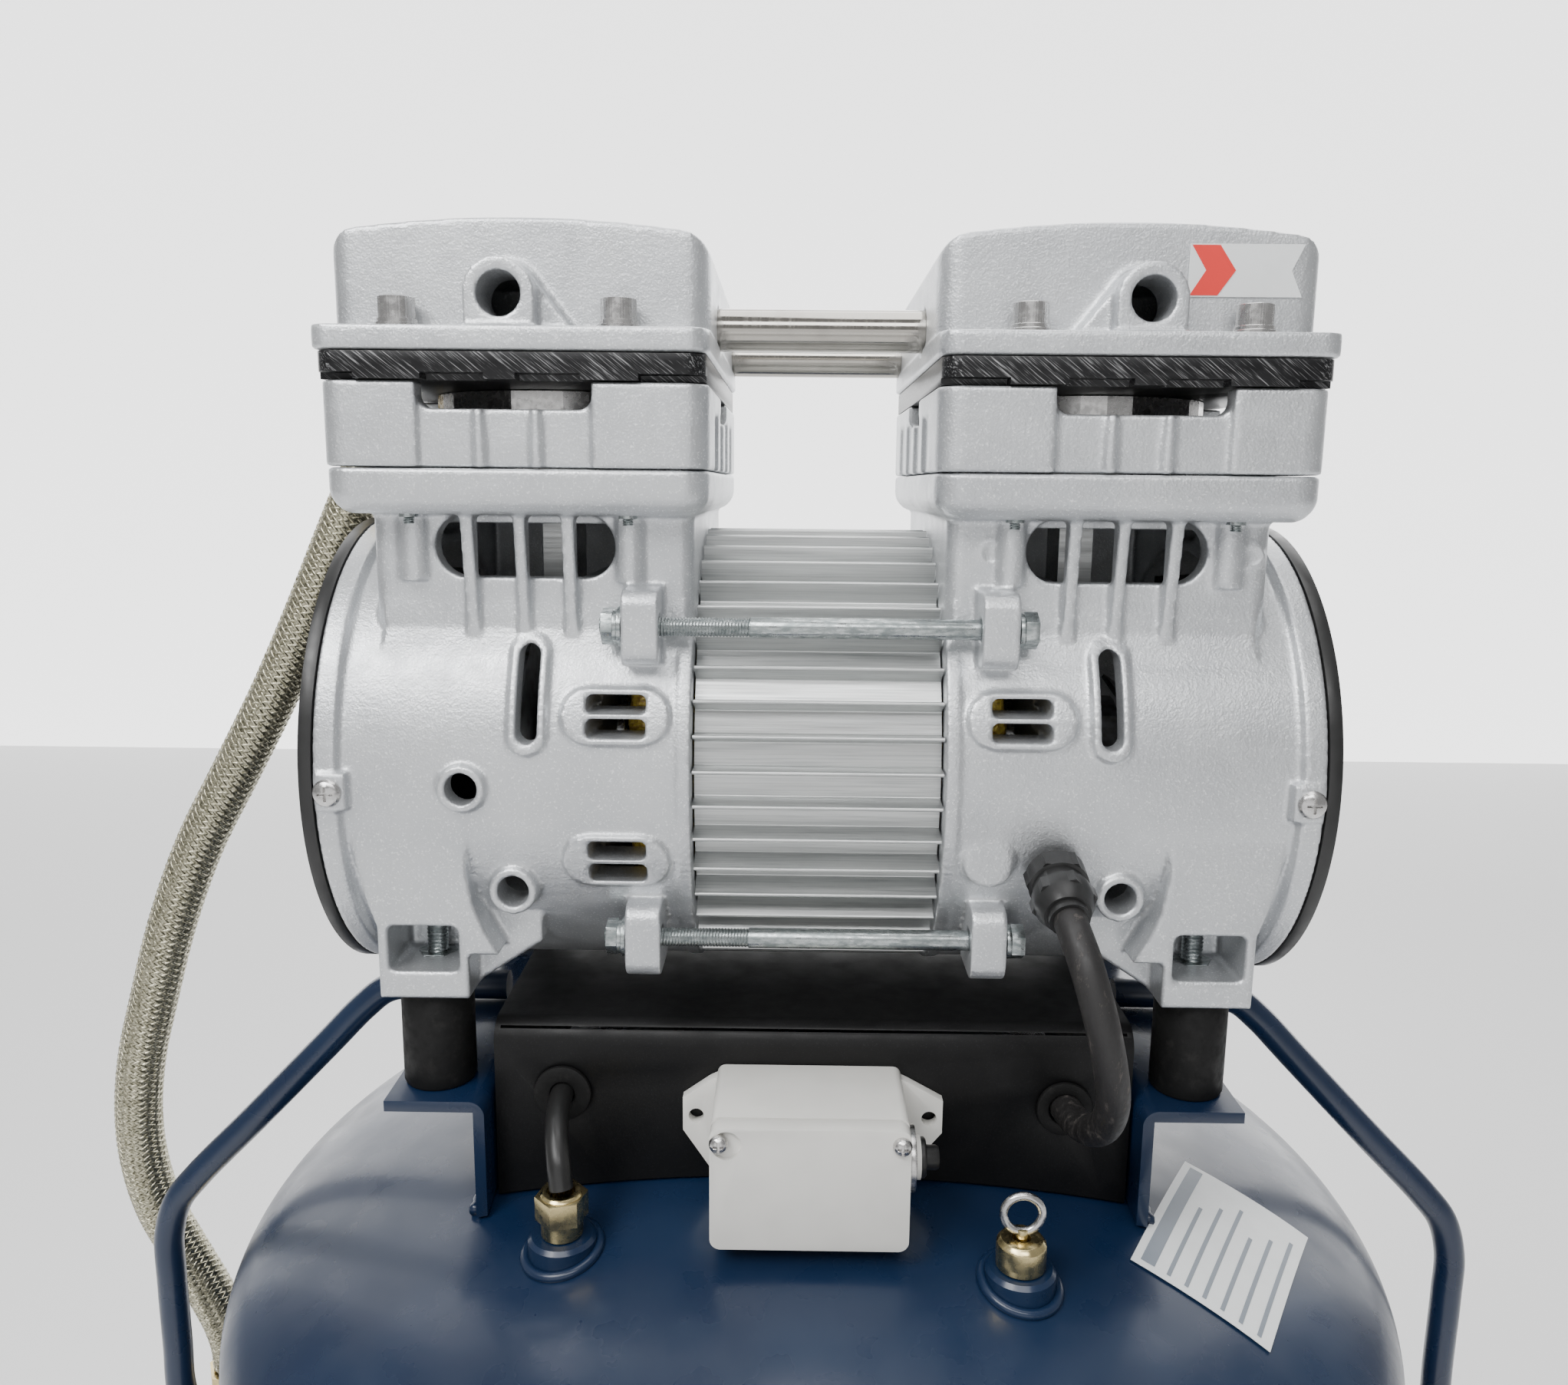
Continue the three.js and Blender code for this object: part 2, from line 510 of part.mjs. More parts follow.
function controlBox() {
  const { half, front, rear, top, sheet, foot } = BOX;
  const round = 3;
  const side = [
    [rear, foot], [front, foot], [front, top - round], [front + round * 0.3, top - round * 0.3],
    [front + round, top], [rear - round, top], [rear, top - round],
  ];
  const shell = prism("x", side, -half, half);
  const room = box(-half + sheet, half - sheet, front + sheet, rear - sheet, foot - 1, top - sheet);
  return cut(
    shell,
    room,
    domeCutter(),
    rod("y", 6, front - 1, front + 3, [-66, -84.5], 20),
    rod("y", 5, front - 1, front + 3, [66.4, -87], 20),
  );
}

function overloadBox() {
  const { x0, x1, front, top, bottom, lid, ear, earZ } = OVERLOAD;
  const back = BOX.front - GAP;
  const groove = front + lid;
  const ears = [
    [x0, top], [-ear, earZ + 3], [-ear, earZ - 4], [x0, earZ - 16],
    [x1, earZ - 16], [ear, earZ - 4], [ear, earZ + 3], [x1, top],
  ];
  const body = join(
    box(x0, x1, front, groove - 0.4, bottom, top),
    box(x0 + 0.6, x1 - 0.6, groove - 0.5, groove + 0.5, bottom + 0.6, top - 0.6),
    box(x0, x1, groove + 0.4, back, bottom, top),
    prism("y", ears, back - 3, back),
    rod("x", BUTTON.neck, x1 - 1, BUTTON.neckEnd, [BUTTON.y, BUTTON.z], 20),
  );
  return cut(
    body,
    rod("x", BUTTON.radius + GAP, x1 - 4, BUTTON.neckEnd + 1, [BUTTON.y, BUTTON.z], 16),
    ...[-30.5, 30.5].map((x) => rod("y", 1.9, back - 4, back + 1, [x, earZ], 12)),
    box(x0 + 2, x1 - 7, front + 2, back + 1, bottom + 2, top - 2),
  );
}

const resetButton = () =>
  rod("x", BUTTON.radius, OVERLOAD.x1 - 0.4, BUTTON.end, [BUTTON.y, BUTTON.z], 16);

// ---- Fittings and lines ----
function cableGland() {
  const profile = [[0, 0], [8, 0], [8, 5], [6.6, 5.5], [6.6, 8], [8, 8.5], [8, 12.5], [5.6, 16]];
  const body = turned("z", [...profile, [CABLE.radius + GAP, 16], [CABLE.radius + GAP, 4], [0, 4]], 12);
  body.rotateX(Math.PI / 2 + GLAND.tilt);
  const reach = GLAND.from + 2.4;
  return body.translate(GLAND.x, -reach * Math.cos(GLAND.tilt), -reach * Math.sin(GLAND.tilt));
}

function hoseElbow() {
  const bend = [[113, 14, 112], [120.6, 14, 112], [123.9, 14, 110.3], [126, 14, 105], [127, 14, 98.5]];
  const ferrule = [[127, 14, 98.2], [130, 14, 90.4], [132.8, 14, 81.2]];
  return join(
    tube(bend, ELBOW.radius, 12, 8),
    tube(ferrule, ELBOW.ferrule, 12, 2),
    rod("x", ELBOW.ferrule - 0.5, COVER.x1 + GAP, COVER.x1 + 4, [ELBOW.y, ELBOW.z], 6),
  );
}

function checkValve() {
  const x = CHECK.x;
  const spot = [CHECK.y, CHECK.z];
  return join(
    rod("x", CHECK.radius, x, -TANK.radius - 4 - GAP, spot, 16),
    rod("x", CHECK.radius + 2, -TANK.radius - 14, -TANK.radius - 4 - GAP, spot, 6),
    rod("z", CHECK.radius, CHECK.z - 8, CHECK.inlet, [x, CHECK.y], 16),
    rod("z", CHECK.radius + 1.2, CHECK.inlet - 9, CHECK.inlet, [x, CHECK.y], 6),
  );
}

function tubeFitting() {
  const bottom = BUNG.top + GAP;
  const body = join(
    rod("z", 5.2, bottom, SENSE.hexTop - 4, [SENSE.x, SENSE.y], 16),
    rod("z", SENSE.hex, SENSE.hexTop - 7, SENSE.hexTop, [SENSE.x, SENSE.y], 6),
  );
  return cut(body, rod("z", SENSE.radius + GAP, SENSE.hexTop - 5, SENSE.hexTop + 1, [SENSE.x, SENSE.y], 12));
}

function safetyValve() {
  const bottom = BUNG.top + GAP;
  const profile = [
    [0, bottom], [SAFETY.radius, bottom], [SAFETY.radius, SAFETY.shoulder - 1],
    [SAFETY.radius - 1, SAFETY.shoulder], [2, SAFETY.shoulder], [2, bottom + 3], [0, bottom + 3],
  ];
  return turned("z", profile, 20).translate(SAFETY.x, SAFETY.y, 0);
}

function safetyPull() {
  const ring = new THREE.TorusGeometry(4.6, 1, 6, 16);
  ring.rotateX(Math.PI / 2).translate(SAFETY.x, SAFETY.y, SAFETY.shoulder + 6.2);
  return join(ring, rod("z", 1.6, BUNG.top + GAP + 4, SAFETY.shoulder + 2.4, [SAFETY.x, SAFETY.y], 10));
}

// ---- Assembly ----
const compressor = new THREE.Group();
const pump = new THREE.Group();
pump.position.z = AXIS_Z;
compressor.add(pump);

function place(group, name, geometry, material) {
  const mesh = new THREE.Mesh(geometry, material);
  mesh.name = name;
  group.add(mesh);
}

for (const [label, side] of [["right", 1], ["left", -1]]) {
  const half = new THREE.Group();
  half.scale.x = side;
  pump.add(half);
  const put = (name, geometry, material) => place(half, `${name}_${label}`, geometry, material);
  put("crankcase", crankcase(side), CASTING);
  put("cylinder_block", cylinderBlock(), CASTING);
  put("cylinder_liner", cylinderLiner(), EXTRUSION);
  put("valve_plate", valvePlate(), ANODISED);
  put("head_cover", headCover(side), CASTING);
  put("end_cap", endCap(), BLACK_PLASTIC);
  put("bearing", bearing(), STEEL);
  put("winding", winding(), COPPER);
  put("fan", fan(), BLACK_PLASTIC);
  put("eccentric", eccentric(side), STEEL);
  put("connecting_rod", connectingRod(side), CASTING);
  put("piston_cup", pistonCup(side), BLACK_PLASTIC);
  put("bracket", bracket(), NAVY);
  put("handle", tube(HANDLE_ROUTE, HANDLE.radius, 8, 26), NAVY);
  for (const [end, face] of [["front", -1], ["rear", 1]]) {
    const spot = [FOOT.x, face * FOOT.y];
    const sleeve = rod("z", SLEEVE.radius, BRACKET.top + GAP, FOOT.bottom - GAP, spot, 24);
    put(`isolator_${end}`, sleeve, RUBBER);
  }
}

place(pump, "stator_housing", statorHousing(), EXTRUSION);
place(pump, "stator_core", statorCore(), STEEL);
place(pump, "rotor", rotor(), STEEL);
place(pump, "crankshaft", crankshaft(), STEEL);
for (const [end, face] of [["front", -1], ["rear", 1]]) {
  place(pump, `tie_rod_upper_${end}`, tieRod(face * LUG.y, LUG.z), ZINC);
  place(pump, `tie_rod_lower_${end}`, tieRod(face * LUG.y, -LUG.z), ZINC);
}
place(pump, "cross_pipe_front", crossPipe(PIPE.y[0]), POLISHED);
place(pump, "cross_pipe_rear", crossPipe(PIPE.y[1]), POLISHED);
place(pump, "cable_gland", cableGland(), BLACK_PLASTIC);
place(pump, "motor_cable", tube(CABLE_ROUTE, CABLE.radius, CABLE.sides, 18), RUBBER);
place(pump, "discharge_hose", tube(HOSE_ROUTE, HOSE.radius, HOSE.sides, 26), BRAID);
place(pump, "check_valve", checkValve(), BRASS);
place(pump, "sensing_tube", tube(SENSE_ROUTE, SENSE.radius, 8, 10), BLACK_PLASTIC);
place(pump, "tube_fitting", tubeFitting(), BRASS);
place(pump, "safety_valve", safetyValve(), BRASS);
place(pump, "safety_pull", safetyPull(), BRASS);
place(pump, "control_box", controlBox(), BLACK_POWDER);
place(pump, "overload_box", overloadBox(), IVORY);
place(pump, "reset_button", resetButton(), BLACK_PLASTIC);

const mirrored = new THREE.Group();
mirrored.scale.x = -1;
pump.add(mirrored);
place(mirrored, "hose_elbow", hoseElbow(), BRASS);

place(compressor, "tank_shell", tankShell(), NAVY);
place(compressor, "base_ring", baseRing(), NAVY);
place(compressor, "drain_screw", drainScrew(), BRASS);
for (let i = 0; i < PAD.count; i += 1) {
  const angle = (i / PAD.count) * Math.PI * 2 + Math.PI / 2;
  const spot = [PAD.ring * Math.cos(angle), PAD.ring * Math.sin(angle)];
  const pad = turned("z", [[0, 0], [PAD.radius - 3, 0], [PAD.radius, 3], [PAD.radius, PAD.height], [0, PAD.height]], 20);
  place(compressor, `rubber_foot_${i + 1}`, pad.translate(...spot, 0), RUBBER);
}

export default compressor;
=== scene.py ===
# Looks for the twin-head oil-free air compressor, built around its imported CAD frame.
import json
import math

import bmesh
import bpy
from mathutils import Matrix, Vector


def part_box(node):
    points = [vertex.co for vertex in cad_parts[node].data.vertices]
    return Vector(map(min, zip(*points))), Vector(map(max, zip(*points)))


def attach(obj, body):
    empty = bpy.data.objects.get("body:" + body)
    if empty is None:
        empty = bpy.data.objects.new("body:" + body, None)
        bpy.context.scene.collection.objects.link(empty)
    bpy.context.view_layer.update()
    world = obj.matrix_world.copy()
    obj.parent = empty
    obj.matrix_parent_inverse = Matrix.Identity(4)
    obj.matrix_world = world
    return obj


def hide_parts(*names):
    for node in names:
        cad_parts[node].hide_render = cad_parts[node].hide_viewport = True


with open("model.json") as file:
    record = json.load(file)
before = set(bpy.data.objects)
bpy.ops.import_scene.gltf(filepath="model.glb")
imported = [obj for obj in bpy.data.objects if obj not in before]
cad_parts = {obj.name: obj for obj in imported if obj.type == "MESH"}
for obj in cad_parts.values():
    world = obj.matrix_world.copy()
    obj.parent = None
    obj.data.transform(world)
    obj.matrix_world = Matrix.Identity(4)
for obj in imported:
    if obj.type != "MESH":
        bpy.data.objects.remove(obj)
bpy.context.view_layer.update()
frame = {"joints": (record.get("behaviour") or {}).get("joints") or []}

# ---- Driving measures: millimetres in the pump's own frame, whose origin is the shaft's axis ----
MM = 0.001
JOINTS = {joint["name"]: joint for joint in frame["joints"]}
AXIS_Z = JOINTS["crank_spin"]["pos_m"][2]
STATION = JOINTS["rod_right_swing"]["pos_m"][0] / MM
SIDES = (("right", 1), ("left", -1))
FACES = (("front", -1), ("rear", 1))


def node_box(node):
    """A CAD node's lowest and highest corners, in millimetres in the pump's frame."""
    low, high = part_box(node)
    return [
        [corner[0] / MM, corner[1] / MM, (corner[2] - AXIS_Z) / MM] for corner in (low, high)
    ]


COVER_LOW, COVER_HIGH = node_box("head_cover_right")
BLOCK_LOW, BLOCK_HIGH = node_box("cylinder_block_right")
PLATE_LOW, PLATE_HIGH = node_box("valve_plate_right")
CASE_HIGH = node_box("crankcase_right")[1]
STATOR_HIGH = node_box("stator_housing")[1]
CAP_LOW, CAP_HIGH = node_box("end_cap_right")
BOX_LOW, BOX_HIGH = node_box("control_box")
OVER_LOW, OVER_HIGH = node_box("overload_box")
BRACKET_LOW, BRACKET_HIGH = node_box("bracket_right")
SLEEVE_LOW, SLEEVE_HIGH = node_box("isolator_front_right")
TANK_RADIUS = node_box("tank_shell")[1][0]
RING_BOTTOM = node_box("base_ring")[0][2]
FLOOR = -AXIS_Z / MM
HOSE_TUBE = 7.25  # radius, as for the cable
CABLE_TUBE = 4.0
BARREL = 62.0  # radius of a crankcase
DOME = 50.0  # height of the tank's domed ends
TANK_TOP = -106.0
TANK_BOTTOM = TANK_TOP - 350.0
BUNGS = (("front_left", (-62.5, -76)), ("front_right", (50, -86)))
BUNG_RADIUS = 8.5
HANDLE_BAR = 4.4
WELD = 1.3  # radius of a weld bead
DRAIN_BORE = 4.0
DRAIN_SHANK = 3.6
SHAFT_RADIUS = 7.5
HEAD_BOLTS = (48.3, 100.6)  # from the motor's middle, as all X values of one side
BOLT_Y = 55.0
LEDGE = COVER_LOW[2] + 5.5
DECK_SCREWS = (47, 100.5)
PORT = (75.3, 117.0)  # X and Z of the intake port
LUG = (57.0, 39.8)  # Y and Z of the through bolts
FOOT = (100.0, 48.0)  # X and Y of the mounting feet
FOOT_BOTTOM = SLEEVE_HIGH[2] + 0.3
RIBS = (61.5, 73.3, 86.0)
PIPE_Z = 114.4
CROWN_CORNER = 7.0
PIPES = (-18.0, 54.0)  # Y of the cross pipes
VOXEL = 0.7

# ---- Camera, at the photograph's place ----
PHOTO_WIDTH = 2044
FOCAL = 1534.87 * 36 / PHOTO_WIDTH
EYE = (-6.3, -342.3, 73.7)
YAW, PITCH, ROLL = -0.008, -0.173, 0.010


def make_camera():
    forward = Vector((
        math.sin(YAW) * math.cos(PITCH), math.cos(YAW) * math.cos(PITCH), math.sin(PITCH)))
    level = Vector((math.cos(YAW), -math.sin(YAW), 0))
    upright = level.cross(forward)
    right = math.cos(ROLL) * level + math.sin(ROLL) * upright
    up = -math.sin(ROLL) * level + math.cos(ROLL) * upright
    data = bpy.data.cameras.new("camera")
    data.sensor_width = 36
    data.lens = FOCAL
    data.clip_start = 0.01
    camera = bpy.data.objects.new("camera", data)
    turn = Matrix((right, up, -forward)).transposed().to_4x4()
    camera.matrix_world = Matrix.Translation(place(EYE)) @ turn
    bpy.context.scene.collection.objects.link(camera)
    bpy.context.scene.camera = camera


def place(point, side=1):
    """A point of the pump's frame, in metres in the row's frame."""
    return Vector((point[0] * side * MM, point[1] * MM, AXIS_Z + point[2] * MM))


# ---- Solids: (points, faces), in millimetres ----
AXES = {
    "x": lambda a, b, w: (w, a, b),
    "y": lambda a, b, w: (a, w, b),
    "z": lambda a, b, w: (a, b, w),
}


def circle(radius, count=64, a=0.0, b=0.0, turn=0.0):
    angles = [turn + 2 * math.pi * i / count for i in range(count)]
    return [(a + radius * math.cos(t), b + radius * math.sin(t)) for t in angles]


def rounded(a0, a1, b0, b1, radius, steps=10):
    corners = ((a1, b1, 0), (a0, b1, 1), (a0, b0, 2), (a1, b0, 3))
    outline = []
    for a, b, quarter in corners:
        centre_a = a - radius if a == a1 else a + radius
        centre_b = b - radius if b == b1 else b + radius
        for i in range(steps + 1):
            angle = (quarter + i / steps) * math.pi / 2
            outline.append((centre_a + radius * math.cos(angle), centre_b + radius * math.sin(angle)))
    return outline


def skin(rows, count, closed=False):
    """Faces of a bar, or of a closed ring, whose points come in rows of count."""
    total = rows * count
    last = total if closed else total - count
    faces = [] if closed else [tuple(range(count)), tuple(range(last, total))]
    for start in range(0, last, count):
        above = (start + count) % total
        for i in range(count):
            j = (i + 1) % count
            faces.append((start + i, start + j, above + j, above + i))
    return faces


def prism(axis, outline, low, high):
    return loft(axis, [(outline, low), (outline, high)])


def loft(axis, levels):
    """A solid through outlines of equal length: levels is a list of (outline, place)."""
    put = AXES[axis]
    points = [put(a, b, w) for outline, w in levels for a, b in outline]
    return points, skin(len(levels), len(levels[0][0]))


def bend(edge, top, radius, way=1):
    """A quarter bend of sheet metal, from its upright side at edge up to its level side at top."""
    angles = [i * math.pi / 20 for i in range(11)]
    return [(edge + way * radius * (1 - math.cos(t)), top - radius * (1 - math.sin(t))) for t in angles]


def rod(axis, radius, low, high, centre=(0.0, 0.0), count=64, turn=0.0):
    return prism(axis, circle(radius, count, *centre, turn), low, high)


def cuboid(x0, x1, y0, y1, z0, z1):
    return prism("z", [(x0, y0), (x1, y0), (x1, y1), (x0, y1)], z0, z1)


def turned(axis, profile, count=64, centre=(0.0, 0.0)):
    """A turned solid; profile is a closed loop, or a line from the axis to the axis, of (radius, place)."""
    put = AXES[axis]
    points = []
    rings = []
    for radius, along in profile:
        if radius < 1e-6:
            rings.append([len(points)] * count)
            points.append(put(centre[0], centre[1], along))
            continue
        rings.append(list(range(len(points), len(points) + count)))
        points += [put(a, b, along) for a, b in circle(radius, count, *centre)]
    closed = profile[0][0] > 1e-6
    pairs = list(zip(rings, rings[1:])) + ([(rings[-1], rings[0])] if closed else [])
    faces = []
    for lower, upper in pairs:
        for i in range(count):
            j = (i + 1) % count
            face = dict.fromkeys((lower[i], lower[j], upper[j], upper[i]))
            if len(face) > 2:
                faces.append(tuple(face))
    return points, faces


def smooth_line(route, steps):
    """Points along a centripetal Catmull-Rom curve through the route, as the CAD tubes follow."""
    route = [Vector(p) for p in route]
    ends = [2 * route[0] - route[1]] + route + [2 * route[-1] - route[-2]]
    line = []
    for p0, p1, p2, p3 in zip(ends, ends[1:], ends[2:], ends[3:]):
        t1 = (p1 - p0).length ** 0.5
        t2 = t1 + (p2 - p1).length ** 0.5
        t3 = t2 + (p3 - p2).length ** 0.5
        for i in range(steps):
            t = t1 + (t2 - t1) * i / steps
            a1 = p0 * ((t1 - t) / t1) + p1 * (t / t1)
            a2 = p1 * ((t2 - t) / (t2 - t1)) + p2 * ((t - t1) / (t2 - t1))
            a3 = p2 * ((t3 - t) / (t3 - t2)) + p3 * ((t - t2) / (t3 - t2))
            b1 = a1 * ((t2 - t) / t2) + a2 * (t / t2)
            b2 = a2 * ((t3 - t) / (t3 - t1)) + a3 * ((t - t1) / (t3 - t1))
            line.append(b1 * ((t2 - t) / (t2 - t1)) + b2 * ((t - t1) / (t2 - t1)))
    return line + [route[-1]]


def frames_along(line):
    """A turning-free pair of cross directions at each point of a line."""
    tangents = [(b - a).normalized() for a, b in zip(line, line[1:])]
    tangents.append(tangents[-1])
    cross = tangents[0].orthogonal().normalized()
    frames = []
    for tangent in tangents:
        cross = (cross - tangent * cross.dot(tangent)).normalized()
        frames.append((cross, tangent.cross(cross)))
    return frames


def sweep(line, radius, count=24):
    """A round tube along a line; radius may be a function of the share of the way along."""
    width = radius if callable(radius) else lambda share: radius
    points = []
    for i, (centre, (u, v)) in enumerate(zip(line, frames_along(line))):
        r = width(i / (len(line) - 1))
        points += [tuple(centre + u * a * r + v * b * r) for a, b in circle(1, count)]
    return points, skin(len(line), count)


def merged(*solids):
    points = []
    faces = []
    for more_points, more_faces in solids:
        offset = len(points)
        points += more_points
        faces += [tuple(i + offset for i in face) for face in more_faces]
    return points, faces


def moved(solid, matrix):
    points, faces = solid
    return [tuple(matrix @ Vector(p)) for p in points], faces


# ---- Blender objects ----
def make(name, solid, side=1):
    points, faces = solid
    mesh = bpy.data.meshes.new(name)
    mesh.from_pydata([place(p, side) for p in points], [], faces)
    work = bmesh.new()
    work.from_mesh(mesh)
    bmesh.ops.recalc_face_normals(work, faces=work.faces)
    work.to_mesh(mesh)
    work.free()
    made = bpy.data.objects.new(name, mesh)
    bpy.context.scene.collection.objects.link(made)
    return made


def bake(made):
    """Applies every modifier on an object."""
    depsgraph = bpy.context.evaluated_depsgraph_get()
    depsgraph.update()
    fixed = bpy.data.meshes.new_from_object(made.evaluated_get(depsgraph))
    made.modifiers.clear()
    made.data = fixed


def combine(made, operation, tools, side=1):
    """Joins, cuts or intersects an object with solids or with other objects, which are used up."""
    objects = [tool if hasattr(tool, "modifiers") else make("tool", tool, side) for tool in tools]
    for tool in objects:
        step = made.modifiers.new("shape", "BOOLEAN")
        step.operation = operation
        step.solver = "MANIFOLD"
        step.object = tool
    bake(made)
    for tool in objects:
        bpy.data.objects.remove(tool)
    return made


def carved(name, base, adds=(), cuts=(), side=1):
    made = combine(make(name, base, side), "UNION", adds, side)
    return combine(made, "DIFFERENCE", cuts, side)


def cast(made, rounds):
    """Gives a shape the soft edges of a casting."""
    remesh = made.modifiers.new("remesh", "REMESH")
    remesh.mode = "VOXEL"
    remesh.voxel_size = VOXEL * MM
    soften = made.modifiers.new("soften", "SMOOTH")
    soften.factor = 0.5
    soften.iterations = rounds
    fewer = made.modifiers.new("fewer", "DECIMATE")
    fewer.ratio = 0.3
    bake(made)
    made.data.shade_smooth()


def crisp(made, width, segments, sharp):
    """Breaks hard edges with a small bevel, and shades curved faces smooth."""
    if width > 0:
        edge = made.modifiers.new("edge", "BEVEL")
        edge.width = width * MM
        edge.segments = segments
        edge.limit_method = "ANGLE"
        edge.angle_limit = math.radians(32)
        bake(made)
    made.data.shade_smooth()
    made.data.set_sharp_from_angle(angle=math.radians(sharp))


def finish_piece(made, look, node=None, body="frame", edge=None, segments=2, sharp=38):
    """Gives a piece its edges, material and body, and hides the CAD node that it stands for."""
    if edge is not None:
        crisp(made, edge, segments, sharp)
    made.data.materials.clear()
    made.data.materials.append(look.material)
    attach(made, body)
    if node:
        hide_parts(node)
    return made


def make_bead(name, solid, side=1):
    bead = make(name, solid, side)
    bead.data.shade_smooth()
    return finish_piece(bead, NAVY)


# ---- Procedural materials ----
class Look:
    """A Principled material with helpers for its texture nodes, in row coordinates."""

    def __init__(self, name, slot, color, roughness, metallic=0.0, **sockets):
        self.slot = slot
        self.material = bpy.data.materials.new(name)
        self.material.use_nodes = True
        self.tree = self.material.node_tree
        self.shader = self.tree.nodes["Principled BSDF"]
        self.color = (*color, 1.0)
        self.set("Base Color", self.color)
        self.set("Roughness", roughness)
        self.set("Metallic", metallic)
        for socket, value in sockets.items():
            self.set(socket.replace("_", " "), value)
        self.normal = None

    def set(self, socket, value):
        self.shader.inputs[socket].default_value = value

    def node(self, kind, **inputs):
        made = self.tree.nodes.new(kind)
        for socket, value in inputs.items():
            socket = made.inputs[socket.replace("_", " ")]
            if hasattr(value, "is_linked") or hasattr(value, "links"):
                self.tree.links.new(value, socket)
            else:
                socket.default_value = value
        return made

    def coords(self, scale=(1, 1, 1), turn=(0, 0, 0)):
        where = self.node("ShaderNodeTexCoord").outputs["Object"]
        mapping = self.node("ShaderNodeMapping", Vector=where)
        mapping.vector_type = "TEXTURE"
        mapping.inputs["Scale"].default_value = [1 / s for s in scale]
        mapping.inputs["Rotation"].default_value = turn
        return mapping.outputs["Vector"]

    def noise(self, size, detail=2.0, scale=(1, 1, 1), turn=(0, 0, 0), rough=0.5):
        """Noise whose features are about size millimetres across."""
        made = self.node("ShaderNodeTexNoise", Vector=self.coords(scale, turn), Scale=1 / (size * MM))
        made.inputs["Detail"].default_value = detail
        made.inputs["Roughness"].default_value = rough
        return made.outputs["Fac"]

    def ramp(self, value, low, high, start=0.0, end=1.0):
        made = self.node("ShaderNodeMapRange", Value=value)
        made.inputs["From Min"].default_value = low
        made.inputs["From Max"].default_value = high
        made.inputs["To Min"].default_value = start
        made.inputs["To Max"].default_value = end
        return made.outputs["Result"]

    def tint(self, value, low, high, other):
        """Mixes the base colour with another one."""
        mix = self.node("ShaderNodeMix")
        mix.data_type = "RGBA"
        self.tree.links.new(self.ramp(value, low, high), mix.inputs[0])
        source = self.shader.inputs["Base Color"]
        if source.is_linked:
            self.tree.links.new(source.links[0].from_socket, mix.inputs[6])
        else:
            mix.inputs[6].default_value = self.color
        mix.inputs[7].default_value = (*other, 1.0)
        self.tree.links.new(mix.outputs[2], source)
        return self

    def roughen(self, value, low, high, start, end):
        self.tree.links.new(self.ramp(value, low, high, start, end), self.shader.inputs["Roughness"])
        return self

    def bump(self, height, depth, strength=1.0):
        """Raises the surface by depth millimetres where the height is one."""
        made = self.node("ShaderNodeBump", Height=height, Distance=depth * MM, Strength=strength)
        if self.normal is not None:
            self.tree.links.new(self.normal, made.inputs["Normal"])
        self.normal = made.outputs["Normal"]
        self.tree.links.new(self.normal, self.shader.inputs["Normal"])
        return self


CASTING = Look("cast_aluminium", "casting", (0.62, 0.635, 0.65), 0.38, 0.8)
GRAIN = CASTING.noise(0.55, 2.0)
CASTING.tint(CASTING.noise(22, 3.0), 0.42, 0.72, (0.55, 0.565, 0.585))
CASTING.tint(GRAIN, 0.58, 0.72, (0.86, 0.87, 0.88))
CASTING.roughen(CASTING.noise(6, 3.0), 0.3, 0.75, 0.36, 0.5)
CASTING.bump(CASTING.noise(1.1, 3.0), 0.18, 0.6)
CASTING.bump(GRAIN, 0.09, 0.6)

EXTRUSION = Look("extruded_aluminium", "extrusion", (0.60, 0.61, 0.605), 0.33, 0.92)
DIE_LINES = EXTRUSION.noise(0.5, 2.0, scale=(0.02, 1, 1))
EXTRUSION.tint(DIE_LINES, 0.45, 0.7, (0.47, 0.485, 0.485))
EXTRUSION.roughen(EXTRUSION.noise(1.2, 2.0, scale=(0.03, 1, 1)), 0.3, 0.7, 0.28, 0.46)
EXTRUSION.bump(DIE_LINES, 0.04, 0.5)

ANODISED = Look("black_anodised", "anodised_plate", (0.008, 0.008, 0.009), 0.3, 0.4)
SCRATCH = ANODISED.noise(0.35, 3.0, scale=(0.03, 1, 1), turn=(0, math.radians(38), 0), rough=0.7)
ANODISED.tint(SCRATCH, 0.54, 0.68, (0.30, 0.30, 0.305))
ANODISED.roughen(SCRATCH, 0.4, 0.7, 0.28, 0.5)
ANODISED.bump(SCRATCH, 0.04, 0.6)

POLISHED = Look("polished_pipe", "polished_pipe", (0.42, 0.40, 0.365), 0.1, 1.0)
TURNS = POLISHED.noise(0.4, 3.0, scale=(1, 0.04, 0.04))
POLISHED.roughen(TURNS, 0.35, 0.7, 0.07, 0.2)
POLISHED.tint(POLISHED.noise(9, 2.0), 0.5, 0.8, (0.35, 0.33, 0.30))
POLISHED.bump(TURNS, 0.008, 0.3)

ZINC = Look("zinc_plated", "zinc", (0.46, 0.49, 0.49), 0.28, 0.97)
PATCH = ZINC.noise(1.3, 4.0, scale=(0.4, 1, 1), rough=0.65)
ZINC.tint(PATCH, 0.42, 0.62, (0.25, 0.28, 0.28))
ZINC.roughen(PATCH, 0.35, 0.65, 0.2, 0.44)
ZINC.bump(PATCH, 0.03, 0.4)

STEEL = Look("bright_steel", "steel", (0.62, 0.61, 0.60), 0.22, 1.0)
STEEL.roughen(STEEL.noise(1.5, 3.0), 0.35, 0.7, 0.18, 0.36)

